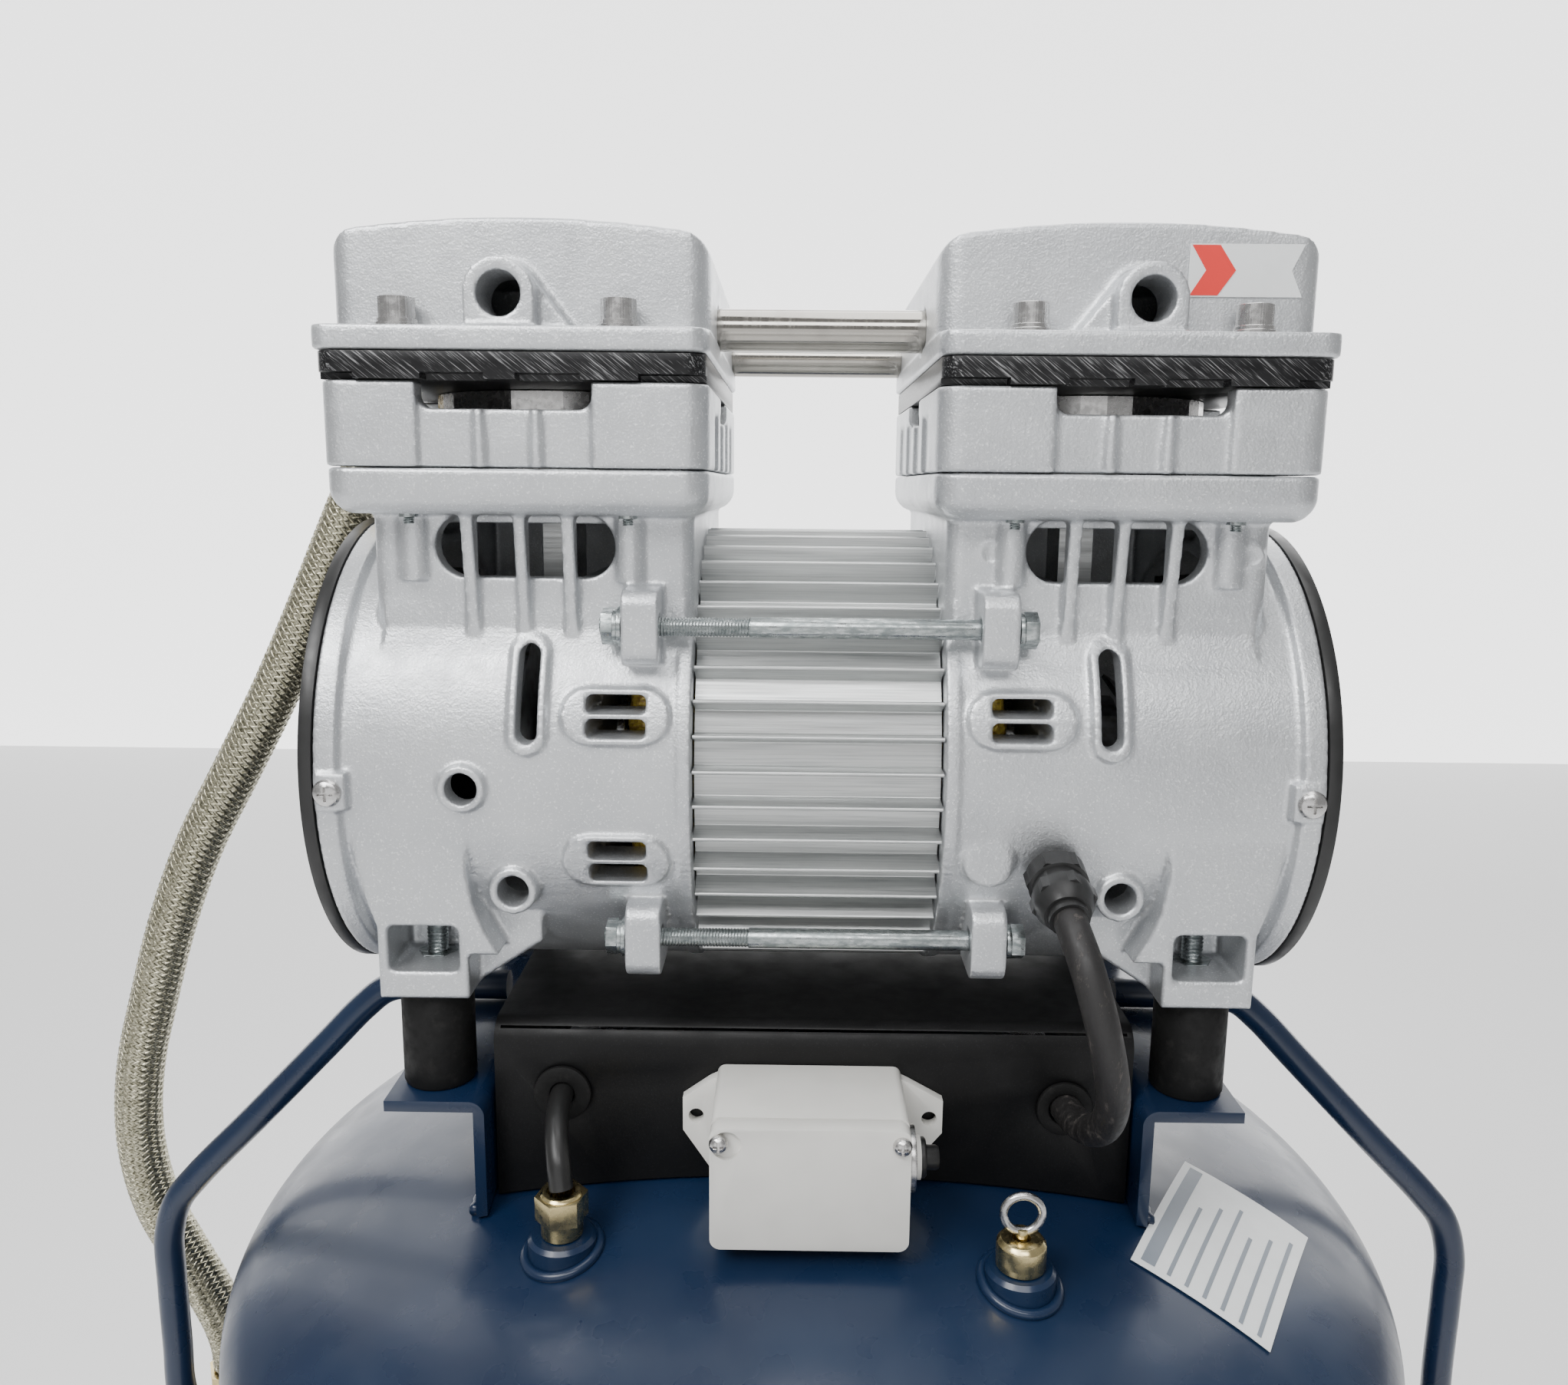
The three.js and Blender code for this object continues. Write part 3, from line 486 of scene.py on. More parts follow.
CORE = Look("core_steel", None, (0.30, 0.30, 0.31), 0.42, 0.9)
CORE.tint(CORE.noise(3, 3.0), 0.45, 0.7, (0.2, 0.19, 0.18))
CORE.bump(CORE.noise(0.5, 1.0, scale=(1, 0.02, 0.02)), 0.1, 0.5)

COPPER = Look("varnished_copper", "copper", (0.78, 0.58, 0.09), 0.3, 0.25, Coat_Weight=0.6)
STRAND = COPPER.noise(0.9, 1.0, scale=(0.6, 1, 1))
COPPER.tint(STRAND, 0.45, 0.62, (0.50, 0.30, 0.05))
COPPER.bump(STRAND, 0.5, 0.9)

NAVY = Look(
    "navy_gloss", "navy_paint", (0.004, 0.014, 0.042), 0.3, 0.0,
    Coat_Weight=0.15, Coat_Roughness=0.12)
NAVY.tint(NAVY.noise(60, 2.0), 0.4, 0.7, (0.006, 0.020, 0.055))
NAVY.roughen(NAVY.noise(14, 3.0), 0.35, 0.7, 0.24, 0.36)
NAVY.bump(NAVY.noise(2.6, 2.0), 0.05, 0.35)

POWDER = Look(
    "black_powder_coat", "black_powder", (0.003, 0.003, 0.0033), 0.45, 0.0, Specular_IOR_Level=0.3)
POWDER.tint(POWDER.noise(0.4, 1.0), 0.6, 0.8, (0.014, 0.014, 0.015))
POWDER.roughen(POWDER.noise(8, 3.0), 0.35, 0.7, 0.44, 0.58)
POWDER.bump(POWDER.noise(0.7, 2.0), 0.05, 0.5)

RUBBER = Look("black_rubber", "rubber", (0.006, 0.006, 0.006), 0.62, Specular_IOR_Level=0.25)
RUBBER.tint(RUBBER.noise(4, 4.0, rough=0.7), 0.55, 0.8, (0.018, 0.017, 0.016))
RUBBER.roughen(RUBBER.noise(2.5, 3.0), 0.35, 0.7, 0.52, 0.75)
RUBBER.bump(RUBBER.noise(0.9, 3.0), 0.06, 0.5)

SLEEVE = Look("scuffed_sleeve", "cable_sheath", (0.014, 0.013, 0.013), 0.55)
SCUFF = SLEEVE.noise(3.0, 5.0, scale=(1, 1, 0.4), rough=0.75)
SLEEVE.tint(SCUFF, 0.56, 0.74, (0.11, 0.095, 0.085))
SLEEVE.roughen(SCUFF, 0.4, 0.7, 0.45, 0.75)
SLEEVE.bump(SCUFF, 0.15, 0.5)

BRASS = Look("brass", "brass_fitting", (0.70, 0.58, 0.30), 0.25, 1.0)
BRASS.tint(BRASS.noise(5, 3.0), 0.45, 0.75, (0.55, 0.45, 0.24))
BRASS.roughen(BRASS.noise(2, 3.0), 0.35, 0.7, 0.18, 0.36)

BRAID = Look("wire_braid", "hose_braid", (0.56, 0.53, 0.40), 0.27, 0.97)
BRAID.tint(BRAID.noise(1.0, 3.0), 0.42, 0.66, (0.20, 0.19, 0.13))
BRAID.roughen(BRAID.noise(0.6, 2.0), 0.35, 0.7, 0.24, 0.42)
BRAID.bump(BRAID.noise(0.25, 1.0), 0.04, 0.5)


def plastic_look(name, slot, color, roughness):
    look = Look(name, slot, color, roughness)
    look.roughen(look.noise(5, 3.0), 0.35, 0.7, roughness - 0.06, roughness + 0.08)
    look.tint(look.noise(12, 2.0), 0.4, 0.75, tuple(c * 0.93 for c in color))
    look.bump(look.noise(0.6, 2.0), 0.03, 0.4)
    return look


def paper_look(name, color):
    look = Look(name, None, color, 0.38)
    look.tint(look.noise(7, 3.0), 0.45, 0.75, tuple(c * 0.95 for c in color))
    look.bump(look.noise(2.5, 2.0), 0.03, 0.3)
    return look


IVORY = plastic_look("ivory_plastic", "ivory_plastic", (0.76, 0.75, 0.71), 0.4)
BLACK = plastic_look("black_plastic", "black_plastic", (0.014, 0.014, 0.014), 0.38)
SEAL = plastic_look("seal_compound", None, (0.09, 0.07, 0.05), 0.5)
LABEL = paper_look("label_white", (0.80, 0.82, 0.82))
LABEL_RED = paper_look("label_red", (0.75, 0.035, 0.03))
LABEL_INK = paper_look("label_ink", (0.20, 0.23, 0.27))

# ---- Castings ----
NOTCH = (54.0, 95.2)  # X of the openings in a block's front and back
SIDE_BOSS = (76.4, -27.4)  # X and Z
LEFT_BOSS = (87.5, 0)


def across(face, near, far):
    """Two depths on the front (-1) or the back (+1), in rising order."""
    return sorted((face * near, face * far))


def case_adds(side):
    """Everything that stands on a crankcase's barrel."""
    top = CASE_HIGH[2]
    band = top - 5.8
    lip = top - 10.8
    x0, x1, depth = BLOCK_LOW[0], BLOCK_HIGH[0], BLOCK_HIGH[1]
    deck = rounded(x0, x1, -depth, depth, 7)
    underside = [
        (rounded(x0 + inset, x1 - inset, inset - depth, depth - inset, 7 - inset), band + drop)
        for inset, drop in ((4.6, -5.0), (2.8, -4.2), (1.2, -2.6), (0.3, -1.0), (0, 0.4))
    ]
    adds = [
        rod("x", CASE_HIGH[1], CASE_HIGH[0] - 5.7, CASE_HIGH[0], count=128),  # rim for the end cap
        rod("x", BARREL + 0.6, 31.4, 34.6, count=128),  # rim against the stator
        prism("z", rounded(31.3, 111.2, -50, 50, 4), 0, lip + 2),  # neck under the deck
        loft("z", underside),
        prism("z", deck, band + 0.39, top),
    ]
    for _, face in FACES:
        flare = [(-58.3, 20), (-52.4, 34), (-50.8, 38.5), (-50, 46), (-40, 46), (-40, 20)]
        adds.append(prism("x", [(-face * y, z) for y, z in flare], 33, 108.5))
        skirt = [(88, -5), (116.6, -5), (115.6, -20), (113.2, -30), (110.9, -37), (110.9, -44),
                 (80, -44), (83.5, -38), (86.3, -31), (87.8, -22)]
        adds.append(prism("y", skirt, *across(face, 30, 60.8)))
        adds.append(cuboid(87.9, 110.9, *across(face, 36, 60.8), FOOT_BOTTOM, -34))
        gusset = [(89, FOOT_BOTTOM), (89, -30), (71, -30), (71, -44)]
        adds.append(prism("y", gusset, *across(face, 37, 51)))
        for sign in (-1, 1):
            middle = sign * LUG[1]
            lug = rounded(*across(face, 42, LUG[0] + 5.5), middle - 9.4, middle + 9.4, 4.5)
            adds.append(prism("x", lug, 39, 48))
        for x in RIBS:
            rib = [(-56, top - 10), (-49, top - 10), (-46, 35), (-51.4, 35)]
            adds.append(prism("x", [(-face * y, z) for y, z in rib], x - 1.5, x + 1.5))
        for x in DECK_SCREWS:
            adds.append(rod("z", 3.9, 50, lip + 2, (x, face * 48.8)))
        adds.append(rod("y", 6, *across(face, 50, 60), SIDE_BOSS))
        adds.append(cuboid(115.4, CASE_HIGH[0] - 0.6, *across(face, 57, 65), -5.6, 3.8))
    if side < 0:
        adds.append(rod("y", 5.9, -64, -50, LEFT_BOSS))
    else:
        adds.append(rod("y", 6.3, -60.8, -50, (42.9, -18.3)))
        # Cast rings beside the window.
        for x in (42.2, 106.2):
            rim = [(3.1, -50.45), (3.1, -48), (2.2, -48), (2.2, -50.45)]
            adds.append(turned("y", rim, 48, (x, 58)))
    return adds


def case_rims(side):
    """Blocks that cut the raised rims round the openings out of a thicker barrel."""
    rims = []
    for _, face in FACES:
        for outline in ((66.8, 76.2, 8.4, 37.4, 4.69), (36.4, 63.2, 11.3, 24.7, 6.69)):
            rims.append(prism("y", rounded(*outline), *across(face, 30, 66)))
    if side < 0:
        rims.append(prism("y", rounded(36.8, 63.4, -26.2, -12.0, 7.0), -66, -30))
    return rims


def case_cuts(side):
    top = CASE_HIGH[2]
    cuts = [
        rod("x", 52, 30, 56, count=96),  # room for the end winding
        rod("x", 57, 62, CASE_HIGH[0] + 1, count=128),  # room for the crank and the fan
        rod("x", 17.8, 55, 63),  # seat of the bearing
        cuboid(62, 104.4, -44, 44, 0, 60),  # room for the connecting rod
        cuboid(37.3, 104.4, -44, 44, 50, 64),
        rod("z", 34.3, 60, top + 1, (STATION, 0), count=96),  # hole for the liner
        prism("y", rounded(50.7, 95.3, 50.8, 66.4, 7.7), -50.25, -43),  # front window
    ]
    for _, face in FACES:
        cuts += [
            prism("y", rounded(68.9, 74.1, 11.1, 34.7, 2.59), *across(face, 40, 66)),
            prism("y", rounded(42.4, 57.0, 12.8, 17.3, 0.6), *across(face, 40, 66)),
            prism("y", rounded(42.4, 57.0, 18.6, 23.1, 0.6), *across(face, 40, 66)),
            prism("y", rounded(90.3, 108.3, -48.7, -36.6, 1.5), *across(face, 42, 66)),
            rod("y", 4, *across(face, 46, 66), SIDE_BOSS),
        ]
        for sign in (-1, 1):
            cuts.append(rod("x", 2.9, 36, 49, (face * LUG[0], sign * LUG[1])))
    if side < 0:
        cuts.append(rod("y", 4, -66, -56, LEFT_BOSS))
        cuts.append(prism("y", rounded(42.6, 57.0, -24.7, -19.7, 0.6), -66, -40))
        cuts.append(prism("y", rounded(42.6, 57.0, -18.3, -13.5, 0.6), -66, -40))
    return cuts


def make_crankcase(label, side):
    rim_body = make("rims", rod("x", BARREL + 1.7, 33, 80, count=128), side)
    outlines = case_rims(side)
    mask = carved("mask", outlines[0], adds=outlines[1:], side=side)
    rims = combine(rim_body, "INTERSECT", [mask])
    made = make(f"cast_crankcase_{label}", rod("x", BARREL, 31.4, CASE_HIGH[0] - 5, count=128), side)
    combine(made, "UNION", [*case_adds(side), rims], side)
    combine(made, "DIFFERENCE", case_cuts(side), side)
    cast(made, 2)
    finish_piece(made, CASTING, f"crankcase_{label}")


def make_block(label, side):
    x0, x1, depth = BLOCK_LOW[0], BLOCK_HIGH[0], BLOCK_HIGH[1]
    low, high = BLOCK_LOW[2], BLOCK_HIGH[2]
    outer = rounded(x0, x1, -depth, depth, 6)
    cuts = [prism("z", rounded(x0 + 6.5, x1 - 6.5, 6.5 - depth, depth - 6.5, 3), low - 1, high + 1)]
    adds = []
    for _, face in FACES:
        notch = rounded(*NOTCH, 91, high + 6, 3.4)
        cuts.append(prism("y", notch, *across(face, depth - 8, depth + 1)))
        cuts.append(cuboid(NOTCH[0], NOTCH[1], *across(face, depth - 1.5, depth + 1), low - 1, 93))
        for x in (67.2, 80.6):
            rib = [(x - 1.3, low), (x + 1.3, low), (x + 0.8, 91), (x - 0.8, 91)]
            adds.append(prism("y", rib, *across(face, depth - 3, depth + 0.1)))
    for inner in (-1, 1):
        edge = x0 if inner < 0 else x1
        for y in (-38, -16, 6, 28):
            xs = sorted((edge - inner * 1.2, edge + inner))
            cuts.append(cuboid(*xs, y, y + 14, low - 1, 92))
        slot = [(edge - 8, -14), (edge + 8, -14), (edge + 8, 14), (edge - 8, 14)]
        cuts.append(prism("z", slot, 91, high + 1))
    made = carved(f"cast_block_{label}", prism("z", outer, low, high), cuts=cuts, side=side)
    combine(made, "UNION", adds, side)
    cast(made, 2)
    finish_piece(made, CASTING, f"cylinder_block_{label}")


def crown_line():
    """Top of a head seen from the front: a shallow crown with rounded shoulders."""
    middle = (COVER_LOW[0] + COVER_HIGH[0]) / 2
    half = (COVER_HIGH[0] - COVER_LOW[0]) / 2
    line = []
    for i in range(61):
        t = math.sin(math.pi * (i / 60 - 0.5))
        past = max(0.0, abs(half * t) - half + CROWN_CORNER)
        corner = CROWN_CORNER - math.sqrt(CROWN_CORNER ** 2 - past ** 2)
        line.append((middle + half * t, COVER_HIGH[2] - 3.6 * t * t - corner))
    return line


def make_cover(label, side):
    x0, x1 = COVER_LOW[0], COVER_HIGH[0]
    depth, base, ledge = COVER_HIGH[1], COVER_LOW[2], LEDGE
    front, rear = -50, 61
    port_x, port_z = PORT
    plan = rounded(x0 + 0.6, x1 - 0.6, front, rear, 6)
    body = make("crown", prism("z", plan, base + 1, COVER_HIGH[2] + 1), side)
    lid = [(x1, base + 1), *reversed(crown_line()), (x0, base + 1)]
    combine(body, "INTERSECT", [prism("y", lid, front - 1, rear + 1)], side)
    fairing = [(port_x - 8.3, ledge - 1), (port_x - 17, ledge - 1), (port_x - 6, port_z + 5.5)]
    adds = [
        body,
        rod("y", 8.3, COVER_LOW[1] + 3, front + 4, PORT),
        cuboid(port_x - 8.3, port_x + 8.3, COVER_LOW[1] + 3, front + 2, ledge - 1, port_z),
        prism("y", fairing, -56, front + 2),
    ]
    cuts = [
        cuboid(x0 + 5, x1 - 5, front + 5, -2, base - 1, 127),
        cuboid(x0 + 5, x1 - 5, 2, 45, base - 1, 127),
        rod("y", 5.15, COVER_LOW[1], front + 8, PORT),
        *[rod("x", 5.8, x0 - 1, 36, (y, PIPE_Z)) for y in PIPES],
    ]
    for x in HEAD_BOLTS:
        cuts.append(rod("z", 6.6, ledge, COVER_HIGH[2] + 2, (x, BOLT_Y)))
        cuts.append(cuboid(x - 6.6, x + 6.6, BOLT_Y, rear + 2, ledge, COVER_HIGH[2] + 2))
    if side < 0:
        cuts.append(rod("x", 5.8, 108, x1 + 1, (14, 112)))
    flange = prism("z", rounded(x0, x1, -depth, depth, 5), base, ledge)
    made = combine(make(f"cast_cover_{label}", flange, side), "UNION", adds, side)
    combine(made, "DIFFERENCE", cuts, side)
    cast(made, 4)
    finish_piece(made, CASTING, f"head_cover_{label}")


def make_valve_plate(label, side):
    x0, x1, depth = PLATE_LOW[0], PLATE_HIGH[0], PLATE_HIGH[1]
    low, high = PLATE_LOW[2], PLATE_HIGH[2]
    cuts = [rod("z", 4.5, low - 1, high + 1, (STATION, y)) for y in (-16, 16)]
    for _, face in FACES:
        for a, b in ((93.4, 78.7), (71.4, 56.3), (42.9, x0 - 1), (x1 + 1, 109)):
            a, b = sorted((a, b))
            cuts.append(cuboid(a, b, *across(face, depth - 5, depth + 1), low - 1, low + 1.5))
    made = carved(
        f"plate_valve_{label}", prism("z", rounded(x0, x1, -depth, depth, 5), low, high),
        cuts=cuts, side=side)
    finish_piece(made, ANODISED, f"valve_plate_{label}", edge=0.35)


# ---- Motor housing and shaft parts ----
def make_stator_housing():
    half = STATOR_HIGH[0]
    count = 44
    outline = []
    for i in range(count):
        angle = 2 * math.pi * (i + 0.5) / count
        for radius, offset in ((55.5, -1.1), (56.3, -0.75), (61.5, -0.5), (61.8, -0.2),
                               (61.8, 0.2), (61.5, 0.5), (56.3, 0.75), (55.5, 1.1)):
            turn = angle + offset / radius
            outline.append((radius * math.cos(turn), radius * math.sin(turn)))
    made = carved(
        "stator_fins", prism("x", outline, -half, half), cuts=[rod("x", 52, -half - 1, half + 1)])
    finish_piece(made, EXTRUSION, "stator_housing", edge=0.15, segments=1, sharp=30)


def make_winding(label, side):
    """An end winding: a bundle of wires wrapped round a ring, laced with tape."""
    rings = 220
    around = 24
    points = []
    for i in range(rings):
        turn = 2 * math.pi * i / rings
        swell = 1 + 0.035 * math.sin(turn * 36)
        for j in range(around):
            t = 2 * math.pi * j / around
            ripple = 1 + 0.03 * math.sin(7 * t + 24 * turn)
            radius = 41 + 7.6 * ripple * swell * math.copysign(abs(math.cos(t)) ** 0.6, math.cos(t))
            x = 38.4 + 10.6 * ripple * math.copysign(abs(math.sin(t)) ** 0.6, math.sin(t))
            points.append((x, radius * math.cos(turn), radius * math.sin(turn)))
    made = make(f"coil_{label}", (points, skin(rings, around, closed=True)), side)
    made.data.shade_smooth()
    finish_piece(made, COPPER, f"winding_{label}")


def make_end_cap(label, side):
    low, high = CAP_LOW[0], CAP_HIGH[0]
    slot = cuboid(low - 1, high + 1, -3, 3, 20, 50)
    cuts = [moved(slot, Matrix.Rotation(math.radians(30 * i), 3, "X")) for i in range(12)]
    cuts.append(turned("x", [(0, high + 1), (15, high + 1), (15, high - 1), (0, high - 1)]))
    made = carved(f"cap_{label}", rod("x", CAP_HIGH[1], low, high, count=160), cuts=cuts, side=side)
    finish_piece(made, BLACK, f"end_cap_{label}", edge=0.7)


# ---- Fasteners ----
def hexagon(radius, a=0.0, b=0.0, turn=0.0):
    return circle(radius, 6, a, b, turn)


def thread(axis, radius, low, high, centre=(0.0, 0.0), pitch=0.8, count=24):
    """A bar whose surface rises and falls as a screw thread."""
    steps = max(2, int((high - low) / (pitch / 4)))
    put = AXES[axis]
    points = []
    for i in range(steps + 1):
        along = low + (high - low) * i / steps
        for j in range(count):
            turn = 2 * math.pi * j / count
            phase = (along / pitch + j / count) % 1
            r = radius - 0.6 * pitch * abs(2 * phase - 1)
            points.append(put(centre[0] + r * math.cos(turn), centre[1] + r * math.sin(turn), along))
    return points, skin(steps + 1, count)


def make_tie_rod(level, end, face, sign):
    spot = (face * LUG[0], sign * LUG[1])
    parts = [
        thread("x", 2.5, -53.5, -17, spot),
        rod("x", 2.55, -17, 49, spot, 32),
        rod("x", 4.9, -49.1, -48.1, spot, 32),
        rod("x", 4.3, -50.2, -49.15, spot, 32),
        prism("x", hexagon(4.6, *spot, 0.2), -53, -50.2),
        rod("x", 4.4, 48.3, 49.4, spot, 32),
        prism("x", hexagon(4.6, *spot, 0.5), 49.5, 52.8),
    ]
    made = make(f"tie_bar_{level}_{end}", merged(*parts))
    finish_piece(made, ZINC, f"tie_rod_{level}_{end}", edge=0.18, segments=2, sharp=40)


def make_head_bolt(label, side, x, y):
    base = LEDGE
    knurls = 44
    rim = []
    for i in range(knurls * 2):
        turn = math.pi * i / knurls
        radius = 4.25 if i % 2 else 4.17
        rim.append((x + radius * math.cos(turn), y + radius * math.sin(turn)))
    head = carved(
        f"head_bolt_{label}_{round(x)}_{'rear' if y > 0 else 'front'}",
        prism("z", rim, base + 2, base + 7.0),
        adds=[
            rod("z", 5.1, base + 0.05, base + 1.1, (x, y)),
            rod("z", 4.6, base + 1.0, base + 2.1, (x, y)),
        ],
        cuts=[prism("z", hexagon(2.3, x, y), base + 4.6, base + 8)],
        side=side)
    finish_piece(head, STEEL, edge=0.15, segments=1, sharp=30)


def cross_head(name, centre, direction, radius, side=1):
    """A small round-headed screw with a cross recess; direction points out of the surface."""
    profile = [
        (0, -0.5), (radius, -0.5), (radius, 0.5), (radius * 0.86, 1.3), (radius * 0.5, 1.85), (0, 2.0),
    ]
    head = turned("z", profile, 32)
    wing = radius * 0.55
    cuts = [
        cuboid(-wing, wing, -0.32, 0.32, 0.9, 3),
        cuboid(-0.32, 0.32, -wing, wing, 0.9, 3),
    ]
    aim = Vector((0, 0, 1)).rotation_difference(Vector(direction)).to_matrix().to_4x4()
    aim = Matrix.Translation(Vector(centre)) @ aim
    made = carved(name, moved(head, aim), cuts=[moved(c, aim) for c in cuts], side=side)
    finish_piece(made, STEEL, edge=0.12, segments=1, sharp=30)


def make_case_fasteners(label, side):
    low = FOOT_BOTTOM
    for end, face in FACES:
        cross_head(f"cap_screw_{label}_{end}", (119.6, face * 65.0, -0.9), (0, face, 0), 3.5, side=side)
        x, y = FOOT[0], face * FOOT[1]
        stud = merged(
            thread("z", 2.9, low - 2, low + 15.5, (x, y - face * 2), 1.0),
            prism("z", hexagon(5.2, x, y - face * 2), low + 7.2, low + 7.4))
        made = make(f"foot_stud_{label}_{end}", stud, side)
        made.data.shade_smooth()
        made.data.set_sharp_from_angle(angle=math.radians(30))
        finish_piece(made, ZINC)
        for x in DECK_SCREWS:
            tip = thread("z", 1.4, CASE_HIGH[2] - 13.2, CASE_HIGH[2] - 10.4, (x, face * 53.4), 0.6)
            ring = rod("z", 2.3, CASE_HIGH[2] - 11.6, CASE_HIGH[2] - 10.6, (x, face * 53.4), 24)
            made = make(f"deck_screw_{label}_{end}_{round(x)}", merged(tip, ring), side)
            finish_piece(made, ZINC, edge=0)
        for x in HEAD_BOLTS:
            make_head_bolt(label, side, x, face * BOLT_Y)


# ---- Inner parts ----
def make_bearing(label, side):
    rings = [(16, 54), (16, 65), (14, 65), (14, 64), (10.5, 64), (10.5, 65), (7.9, 65), (7.9, 54),
             (10.5, 54), (10.5, 55), (14, 55), (14, 54)]
    made = make(f"ball_bearing_{label}", turned("x", rings, 96), side)
    finish_piece(made, STEEL, f"bearing_{label}", edge=0.15)


def make_fan(label, side):
    low, high = 96.0, 110.0
    middle = (low + high) / 2
    blade = [(-1.1, 13), (1.1, 13), (0.7, 49.6), (-0.7, 49.6)]
    adds = []
    for i in range(9):
        turn = Matrix.Rotation(2 * math.pi * i / 9, 4, "X")
        twist = Matrix.Translation((middle, 0, 0)) @ Matrix.Rotation(0.6, 4, "Z")
        shape = prism("x", blade, low - middle, high - middle)
        adds.append(moved(moved(shape, twist), turn))
    made = carved(
        f"fan_wheel_{label}", rod("x", 15, low - 1, high + 1, count=96), adds=adds,
        cuts=[rod("x", SHAFT_RADIUS + 0.3, low - 3, high + 3)], side=side)
    finish_piece(made, BLACK, body="crank", node=f"fan_{label}", edge=0.3)


def plain_node(name, look):
    """Keeps a CAD node as it is, with smooth shading and a procedural material."""
    node = bpy.data.objects[name]
    node.data.materials.clear()
    node.data.materials.append(look.material)
    node.data.shade_smooth()
    node.data.set_sharp_from_angle(angle=math.radians(32))


# ---- Lines between the heads ----
def make_cross_pipe(end, y):
    half = 33.0
    outer = 5.5
    inner = 4.3
    profile = [(outer, -half), (outer, half), (inner, half), (inner, -half)]
    made = make(f"pipe_{end}", turned("x", profile, 96, (y, PIPE_Z)))
    finish_piece(made, POLISHED, f"cross_pipe_{end}", edge=0)


def make_isolator(label, end, side, face):
    low, high = SLEEVE_LOW[2], SLEEVE_HIGH[2]
    spot = (FOOT[0], face * FOOT[1])
    profile = [(0, low), (9.1, low), (9.45, low + 0.8), (9.45, high - 1.2), (8.6, high), (0, high)]
    made = make(f"sleeve_{end}_{label}", turned("z", profile, 72, spot), side)
    finish_piece(made, RUBBER, f"isolator_{end}_{label}", edge=0)


# ---- Brackets, handles and boxes between the tank and the pump ----
def dome_cutter():
    """Everything inside the tank's skin and a little round it."""
    growth = 0.9
    radius = TANK_RADIUS + growth
    skin_line = [
        (radius * math.sin(turn), TANK_TOP + growth - DOME * (1 - math.cos(turn)))
        for turn in (i * math.pi / 48 for i in range(1, 25))
    ]
    return turned("z", [(0, TANK_TOP + growth), *skin_line, (radius, -250), (0, -250)], 144)


def make_bracket(label, side):
    x0, x1, top = BRACKET_LOW[0], BRACKET_HIGH[0], BRACKET_HIGH[2]
    depth = BRACKET_HIGH[1]
    foot = BRACKET_LOW[2] - 6
    thick = 3.0
    outline = [
        (x0, foot), *bend(x0, top, 4.2), (x1, top), (x1, top - thick), (x0 + thick, top - thick),
        (x0 + thick, foot),
    ]
    made = carved(f"fork_{label}", prism("y", outline, -depth, depth), cuts=[dome_cutter()], side=side)
    finish_piece(made, NAVY, f"bracket_{label}", edge=0.5)
    for end, face in FACES:
        # The weld runs along the foot of the web, on its outer side.
        steps = [face * (8 + i * 1.3) for i in range(41)]
        line = [
            Vector((x0 + thick + 1.1, y, dome_top(math.hypot(x0 + thick, y)) + 1.0))
            for y in steps if abs(y) < depth - 1
        ]
        bead = sweep(line, lambda share: 1.5 + 0.22 * math.sin(share * 150), 14)
        make_bead(f"weld_{label}_{end}", bead, side)


def dome_top(radius):
    share = min(1.0, radius / TANK_RADIUS)
    return TANK_TOP - DOME * (1 - math.sqrt(1 - share * share))


HANDLE_ROUTE = [
    (93, 0, -78.7), (108, 0, -78.7), (122, 0, -78.7), (131, 0, -80.5), (138, 0, -86), (150, 0, -98.5),
    (175, 0, -124.5), (195, 0, -145), (202, 0, -154), (205.6, 0, -166), (206, 0, -180),
    (206, 0, -205), (206, 0, -222), (203, 0, -235), (194, 0, -243.5), (183, 0, -246),
    (170.6, 0, -246.4),
]


def make_handle(label, side):
    bar = sweep(smooth_line(HANDLE_ROUTE, 8), HANDLE_BAR, 40)
    finish_piece(make(f"carry_bar_{label}", bar, side), NAVY, f"handle_{label}", edge=0)
    reach = HANDLE_BAR + 0.6
    line = [
        Vector((TANK_RADIUS + 0.7, math.cos(t) * reach, -246.2 + math.sin(t) * reach))
        for t in (i * math.pi / 16 for i in range(33))
    ]
    make_bead(f"bar_weld_{label}", sweep(line, WELD, 12), side)


def make_control_box():
    half = BOX_HIGH[0]
    front, rear, top = BOX_LOW[1], BOX_HIGH[1], BOX_HIGH[2]
    foot = BOX_LOW[2] - 8
    sheet = 1.5
    plan = [(rear, foot), (front, foot), *bend(front, top, 6.0), *reversed(bend(rear, top, 6.0, -1))]
    # Name, centre of the hole, its radius, and the grommet's outer and inner radii.
    glands = (("left", (-66, -84.5), 6, 7.6, 3.2), ("right", (66.4, -87), 5, 7.4, 4.2))
    cuts = [
        cuboid(-half + sheet, half - sheet, front + sheet, rear - sheet, foot - 1, top - sheet),
        dome_cutter(),
    ]
    cuts += [rod("y", hole, front - 1, front + 3, spot) for _, spot, hole, _, _ in glands]
    made = carved("relay_box", prism("x", plan, -half, half), cuts=cuts)
    finish_piece(made, POWDER, "control_box", edge=0.4)
    for name, spot, _, outer, inner in glands:
        profile = [(inner, front - 1.6), (outer, front - 1.6), (outer, front - 0.1), (inner, front - 0.1)]
        grommet = make(f"grommet_{name}", turned("y", profile, 48, spot))
        finish_piece(grommet, RUBBER, edge=0.5)


